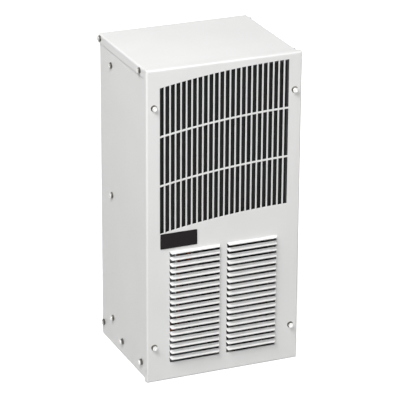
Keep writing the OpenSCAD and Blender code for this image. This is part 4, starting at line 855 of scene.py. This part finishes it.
def moulded(name, base, rough, grain_mm, deep_mm, dust=0.0, ior=1.5):
    """Moulded plastic or rubber, or a thick enamel: one deep colour, a fine eroded or cured grain
    that breaks the gloss, and a little pale dust lying in it where asked."""
    material, tree, place = new_material(name)
    grain = noise(tree, place, grain_mm, detail=2.0, roughness=0.6)
    cloud = noise(tree, place, size_mm=30.0, detail=3.0)
    dusty = (*(c + dust for c in shade(base, 1.12)[:3]), 1.0)
    colour = blend(tree, cloud, shade(base, 0.9), dusty, low=0.3, high=0.75)
    gloss = mapped(tree, grain, rough - 0.07, rough + 0.1)
    normal = relief(tree, grain, strength=0.3, deep_mm=deep_mm, edge_mm=0.4)
    close_material(tree, colour, gloss, normal, {"IOR": ior})
    return material


def cell_foam(name, base):
    """Closed-cell rubber foam, split and cut: dull, with cut-open cells about 1.4 mm across, each painted
    dark in its hollow as painted shade and light at its rim as a painted highlight."""
    material, tree, place = new_material(name)
    cells = add_node(tree, "TexVoronoi", {"Vector": place, "Scale": 1 / (1.4 * MM)}, feature="F1")
    cell = cells.outputs["Distance"]
    # Painted shade in the cell hollows, painted highlight at their rims
    colour = blend(tree, cell, shade(base, 0.6), shade(base, 1.5))
    soft = {"Sheen Weight": 0.25, "Sheen Roughness": 0.5, "IOR": 1.45}
    close_material(tree, colour, 0.92, relief(tree, cell, strength=0.6, deep_mm=0.3), soft)
    return material


def fibre_mat(name, base):
    """Needled polyester fibre: near black, with strands a little lighter that lie every way. The
    real fibres are 0.05 mm thick and are drawn at 0.7 mm, so that they show."""
    material, tree, place = new_material(name)
    upright, level = (
        noise(tree, place, size_mm=0.7, detail=2.0, stretch=stretch, turn=(0.0, 0.35, 0.0))
        for stretch in ((1.0, 1.0, 0.12), (0.16, 1.0, 1.0))
    )
    strand = larger(tree, upright, level)
    colour = blend(tree, strand, shade(base, 0.5), shade(base, 1.7), low=0.45, high=0.75)
    normal = relief(tree, strand, strength=0.7, deep_mm=0.4)
    close_material(tree, colour, 0.95, normal, {"Sheen Weight": 0.03, "IOR": 1.45})
    return material


def finish_table(colours):
    """The maker, name and values of the finish of each material slot of the record."""
    pick = {key: (*getattr(colours, key), 1.0) for key in colours.__annotations__}
    return {
        # Baked polyester powder: an even pale skin with a soft gloss
        "white_paint": (powder_coat, "Polyester powder coat", {"base": pick["casing"], "rough": 0.42}),
        # Lacquered aluminium: near black with a broad satin sheen
        "black_plate": (satin_lacquer, "Satin black lacquer", {"base": pick["plate"]}),
        # Hot-dip zinc: grey crystals of differing gloss
        "galvanised_sheet": (spangled_zinc, "Hot-dip galvanised steel", {}),
        # Zinc plate: pale grey metal, with a painted dark reflection on the heads' sides
        "plated_steel": (
            drawn_metal,
            "Bright zinc plate",
            {
                "dark": "#B4B5B4",
                "light": "#D9D9D7",
                "rough": 0.3,
                "grain_mm": 1.2,
                "tarnish": "#A5A5A3",
                # Painted dark reflection on the sides of the heads and washers
                "drawn": "#57534D",
            },
        ),
        # Ground chrome steel: clean, bright, thinly oiled
        "bearing_steel": (
            drawn_metal,
            "Ground bearing steel",
            {
                "dark": "#B6B9BC",
                "light": "#DADCDE",
                "rough": 0.2,
                "stretch": (1.0, 4.0, 1.0),
                "grain_mm": 0.9,
            },
        ),
        # Nickel-plated wire: bright, a little yellowed in patches
        "guard_wire": (
            drawn_metal,
            "Nickel-plated wire",
            {"dark": "#B9BBB8", "light": "#E0E1DE", "rough": 0.18, "grain_mm": 2.0, "tarnish": "#A3A19A"},
        ),
        # Split and cut rubber foam: dull, its open cells given painted shade in their hollows and a painted
        # highlight at their rims
        "foam": (cell_foam, "Closed-cell rubber foam", {"base": pick["foam"]}),
        # Needled fibre: near black and without gloss
        "filter_cloth": (fibre_mat, "Needled polyester fibre", {"base": pick["filter"]}),
        # Glass-filled nylon: black with a dry, even grain
        "black_plastic": (
            moulded,
            "Glass-filled nylon",
            {"base": linear("#1D1F21"), "rough": 0.5, "grain_mm": 1.3, "deep_mm": 0.06, "dust": 0.004},
        ),
        # ABS: mid grey with a spark-eroded grain
        "grey_plastic": (
            moulded,
            "Grey ABS",
            {"base": linear("#9A9FA3"), "rough": 0.48, "grain_mm": 1.3, "deep_mm": 0.06},
        ),
        # Soft rolled foil: pale metal with upright rolling lines
        "fin_aluminium": (
            drawn_metal,
            "Rolled fin aluminium",
            {
                "dark": "#B4B8BB",
                "light": "#D8DBDD",
                "rough": 0.36,
                "stretch": (1.0, 1.0, 0.06),
                "grain_mm": 0.8,
            },
        ),
        # Drawn aluminium can: upright draw lines
        "capacitor_can": (
            drawn_metal,
            "Drawn aluminium can",
            {
                "dark": "#B9BDC0",
                "light": "#DCDFE1",
                "rough": 0.3,
                "stretch": (1.0, 1.0, 0.04),
                "grain_mm": 0.8,
            },
        ),
        # Soft drawn copper: dull and browned by heat and handling
        "copper": (
            drawn_metal,
            "Soft drawn copper",
            {"dark": "#5E382A", "light": "#7E5039", "rough": 0.3, "grain_mm": 1.5, "tarnish": "#432C22"},
        ),
        # Stacked steel sheets: grey metal with a line at each sheet
        "motor_core": (laminated_core, "Laminated electrical steel", {}),
        # Dipped enamel on the compressor: deep black, soft gloss, a little dust
        "black_paint": (
            moulded,
            "Black dipped enamel",
            {
                "base": pick["compressor"],
                "rough": 0.42,
                "grain_mm": 3.0,
                "deep_mm": 0.05,
                "dust": 0.002,
                "ior": 1.4,
            },
        ),
        # Cured rubber: soft grey-black, no gloss
        "black_rubber": (
            moulded,
            "Black cured rubber",
            {"base": linear("#1A1B1C"), "rough": 0.75, "grain_mm": 0.9, "deep_mm": 0.05, "dust": 0.01},
        ),
    }


def finishes(colours):
    """The finish of each material slot, made once and found again by its name."""
    return {
        slot: bpy.data.materials.get(name) or make(name, **values)
        for slot, (make, name, values) in finish_table(colours).items()
    }


# Studio


def place_camera(scene, lens):
    """The camera at the photograph's place."""
    camera = bpy.data.cameras.new("camera")
    camera.sensor_width, camera.lens, camera.clip_end = 36.0, lens, 100.0
    eye = bpy.data.objects.new("camera", camera)
    axes = Matrix(CAMERA_AXES).transposed()
    eye.matrix_world = Matrix.Translation(Vector(CAMERA_PLACE) * MM) @ axes.to_4x4()
    scene.collection.objects.link(eye)
    scene.camera = eye


def hang_lamps(scene, powers):
    """Round lamps, each turned towards the middle of the unit."""
    for name, place, size, power in LAMPS:
        lamp = bpy.data.lights.new(name, "AREA")
        lamp.shape, lamp.size, lamp.energy = "DISK", size, getattr(powers, power)
        holder = bpy.data.objects.new(name, lamp)
        holder.location = place
        back = Vector(place) - Vector(LAMP_AIM)
        holder.rotation_euler = back.to_track_quat("Z", "Y").to_euler()
        scene.collection.objects.link(holder)


def seen_share(tree):
    """One for a ray that shows the background: from the camera, a reflection or through glass."""
    ray = add_node(tree, "LightPath").outputs
    return larger(tree, larger(tree, ray["Is Camera Ray"], ray["Is Glossy Ray"]), ray["Is Transmission Ray"])


def white_surroundings(scene, strength):
    """A world that lights the unit faintly from all round and is seen as white."""
    world = bpy.data.worlds.new("surroundings")
    world.use_nodes = True
    tree = world.node_tree
    tree.nodes.clear()
    even = add_node(tree, "Background", {"Color": WHITE, "Strength": strength})
    white = add_node(tree, "Background", {"Color": WHITE, "Strength": 1.0})
    mixed = add_node(tree, "MixShader", {0: seen_share(tree), 1: even.outputs[0], 2: white.outputs[0]})
    add_node(tree, "OutputWorld", {"Surface": mixed.outputs[0]})
    scene.world = world


def pale_floor(scene):
    """Pale matt floor. What is seen of it, straight or in a reflection, is lifted to white, less its
    shadow, and far away it is lifted fully. The light it throws back up is held down, so that the
    openings stay dark."""
    material, tree, place = new_material("Pale studio floor")
    grain = noise(tree, place, size_mm=1000.0 / 3, detail=2.0)
    matt = add_node(tree, "BsdfDiffuse", {"Color": blend(tree, grain, linear("#ECECEB"), linear("#F0F0EF"))})
    away = add_node(tree, "VectorMath", {0: place}, operation="LENGTH").outputs["Value"]
    much = mapped(tree, away, 0.8, 1.0, start=0.6, end=2.4)
    lift = add_node(tree, "Emission", {"Color": WHITE, "Strength": much})
    lit = add_node(tree, "AddShader", {0: matt.outputs[0], 1: lift.outputs[0]})
    dull = add_node(tree, "BsdfDiffuse", {"Color": linear("#7C7C7B")})
    mixed = add_node(tree, "MixShader", {0: seen_share(tree), 1: dull.outputs[0], 2: lit.outputs[0]})
    add_node(tree, "OutputMaterial", {"Surface": mixed.outputs[0]})
    mesh = bpy.data.meshes.new("floor")
    line = np.linspace(-FLOOR_HALF, FLOOR_HALF, FLOOR_LINES)
    u, v = np.meshgrid(line, line)
    points = np.stack([u, v, np.full_like(u, -FLOOR_DROP)], axis=-1).reshape(-1, 3)
    mesh.from_pydata(points.tolist(), [], grid_quads(FLOOR_LINES, FLOOR_LINES).tolist())
    mesh.materials.append(material)
    floor = bpy.data.objects.new("floor", mesh)
    scene.collection.objects.link(floor)


# Operators


def settle(piece, node):
    """Says what a piece rides on and hides the imported node it stands for."""
    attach(piece, "cabinet")
    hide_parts(node)
    return piece


def screw_rows():
    """Point, without the cover's own depth, and head direction of each casing screw, by node."""
    cover = [(s * COVER_SCREW_X, 0.0, z, (0, -1, 0)) for s in (-1, 1) for z in COVER_SCREW_Z]
    lid = [(s * LID_SIDE, d, LID_SCREW_Z, (s, 0, 0)) for s in (-1, 1) for d in LID_SCREW_DEPTH]
    column = [(s * PANEL_SIDE, COLUMN_DEPTH, z, (s, 0, 0)) for s in (-1, 1) for z in COLUMN_Z]
    row = [(s * PANEL_SIDE, d, ROW_Z, (s, 0, 0)) for s in (-1, 1) for d in ROW_DEPTH]
    return {"front_screws": cover, "top_screws": lid, "side_screws": column + row}


class COOLINGUNIT_OT_stage(bpy.types.Operator):
    """Camera, lamps, pale floor and white surroundings"""

    bl_idname = "cooling_unit.stage"
    bl_label = "Studio"

    def execute(self, context):
        scene, values = context.scene, context.scene.cooling_unit_stage
        scene.view_settings.view_transform = "Standard"
        place_camera(scene, values.lens)
        hang_lamps(scene, values)
        white_surroundings(scene, values.sky)
        pale_floor(scene)
        return {"FINISHED"}


class COOLINGUNIT_OT_front_cover(bpy.types.Operator):
    """Folded front cover with its slotted grille and lanced louvres"""

    bl_idname = "cooling_unit.front_cover"
    bl_label = "Front cover"

    def execute(self, context):
        scene = context.scene
        sizes = scene.cooling_unit_cover
        coat = finishes(scene.cooling_unit_colours)["white_paint"]
        piece = front_cover(sizes).make("cover_sheet", coat, sharp=32.0, bevel=sizes.edge / MM)
        settle(piece, "front_cover")
        return {"FINISHED"}


class COOLINGUNIT_OT_screws(bpy.types.Operator):
    """Hexagon-head screws of the front cover, the top cover and the side panels"""

    bl_idname = "cooling_unit.screws"
    bl_label = "Casing screws"

    def execute(self, context):
        scene = context.scene
        sizes = scene.cooling_unit_screw
        zinc = finishes(scene.cooling_unit_colours)["plated_steel"]
        for node, rows in screw_rows().items():
            places = [
                ((x, FACE_Y + d, z), direction, math.radians(FIRST_TURN + NEXT_TURN * k))
                for k, (x, d, z, direction) in enumerate(rows)
            ]
            piece = placed_screws(sizes, places).make(node + "_heads", zinc, sharp=26.0)
            # Marks the head and washer sides for their painted dark reflection
            paint_dark_side_reflection(piece, sizes, places)
            settle(piece, node)
        return {"FINISHED"}


class COOLINGUNIT_OT_seals(bpy.types.Operator):
    """Foam gasket on the mounting face and foam insulation on the partition"""

    bl_idname = "cooling_unit.seals"
    bl_label = "Foam seals"

    def execute(self, context):
        foam = finishes(context.scene.cooling_unit_colours)["foam"]
        low, high = box_mm("mounting_gasket")
        piece = gasket_ring(low, high).make("gasket_foam", foam, bevel=GASKET_EDGE)
        settle(piece, "mounting_gasket")
        low, high = box_mm("partition_insulation")
        piece = foam_slab(low, high, LINE_NOTCHES).make("insulation_foam", foam, bevel=INSULATION_EDGE)
        settle(piece, "partition_insulation")
        return {"FINISHED"}


class COOLINGUNIT_OT_filter_pad(bpy.types.Operator):
    """Ribbed filter pad behind the grille"""

    bl_idname = "cooling_unit.filter_pad"
    bl_label = "Filter pad"

    def execute(self, context):
        cloth = finishes(context.scene.cooling_unit_colours)["filter_cloth"]
        low, high = box_mm("filter_pad")
        piece = filter_pad(low, high).make("filter_mat", cloth, sharp=80.0)
        settle(piece, "filter_pad")
        return {"FINISHED"}


class COOLINGUNIT_OT_fins(bpy.types.Operator):
    """Wavy fins of the evaporator coil"""

    bl_idname = "cooling_unit.fins"
    bl_label = "Evaporator fins"

    def execute(self, context):
        metal = finishes(context.scene.cooling_unit_colours)["fin_aluminium"]
        low, high = box_mm("evaporator_fins")
        piece = wavy_fins(low, high).make("evaporator_fin_stack", metal, sharp=60.0)
        settle(piece, "evaporator_fins")
        return {"FINISHED"}


class COOLINGUNIT_OT_plate(bpy.types.Operator):
    """Bare satin plate below the grille"""

    bl_idname = "cooling_unit.plate"
    bl_label = "Plate"

    def execute(self, context):
        lacquer = finishes(context.scene.cooling_unit_colours)["black_plate"]
        low, high = box_mm("nameplate")
        piece = rounded_plate(low, high).make("bare_plate", lacquer, sharp=60.0)
        settle(piece, "nameplate")
        return {"FINISHED"}


class COOLINGUNIT_OT_finishes(bpy.types.Operator):
    """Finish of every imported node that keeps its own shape"""

    bl_idname = "cooling_unit.finishes"
    bl_label = "Finishes"

    def execute(self, context):
        made = finishes(context.scene.cooling_unit_colours)
        for row in frame["record"]["subparts"]:
            for place in frame["nodes"][row["node"]].material_slots:
                place.material = made[row["material_slot"]]
        return {"FINISHED"}


class COOLINGUNIT_PT_panel(bpy.types.Panel):
    """Lists the steps and the sizes"""

    bl_idname = "COOLINGUNIT_PT_panel"
    bl_label = "Cooling Unit"
    bl_space_type = "VIEW_3D"
    bl_region_type = "UI"
    bl_category = "Cooling Unit"

    def draw(self, context):
        for operator in OPERATORS:
            self.layout.operator(operator.bl_idname)
        for group, _ in GROUPS:
            values = getattr(context.scene, group)
            box = self.layout.box()
            for key in values.__annotations__:
                box.prop(values, key)


GROUPS = (
    ("cooling_unit_cover", CoolingUnitCover),
    ("cooling_unit_screw", CoolingUnitScrew),
    ("cooling_unit_colours", CoolingUnitColours),
    ("cooling_unit_stage", CoolingUnitStage),
)
OPERATORS = (
    COOLINGUNIT_OT_stage,
    COOLINGUNIT_OT_finishes,
    COOLINGUNIT_OT_front_cover,
    COOLINGUNIT_OT_plate,
    COOLINGUNIT_OT_screws,
    COOLINGUNIT_OT_filter_pad,
    COOLINGUNIT_OT_seals,
    COOLINGUNIT_OT_fins,
)


def register():
    """Registers the groups, the steps and the panel."""
    for name, group in GROUPS:
        bpy.utils.register_class(group)
        setattr(bpy.types.Scene, name, bpy.props.PointerProperty(type=group))
    for operator in OPERATORS:
        bpy.utils.register_class(operator)
    bpy.utils.register_class(COOLINGUNIT_PT_panel)


def unregister():
    """Takes back what register did, in reverse order."""
    bpy.utils.unregister_class(COOLINGUNIT_PT_panel)
    for operator in reversed(OPERATORS):
        bpy.utils.unregister_class(operator)
    for name, group in reversed(GROUPS):
        delattr(bpy.types.Scene, name)
        bpy.utils.unregister_class(group)


def main():
    """Runs the steps in order."""
    register()
    bpy.ops.cooling_unit.stage()
    bpy.ops.cooling_unit.finishes()
    bpy.ops.cooling_unit.front_cover()
    bpy.ops.cooling_unit.plate()
    bpy.ops.cooling_unit.screws()
    bpy.ops.cooling_unit.filter_pad()
    bpy.ops.cooling_unit.seals()
    bpy.ops.cooling_unit.fins()


if __name__ == "__main__":
    main()
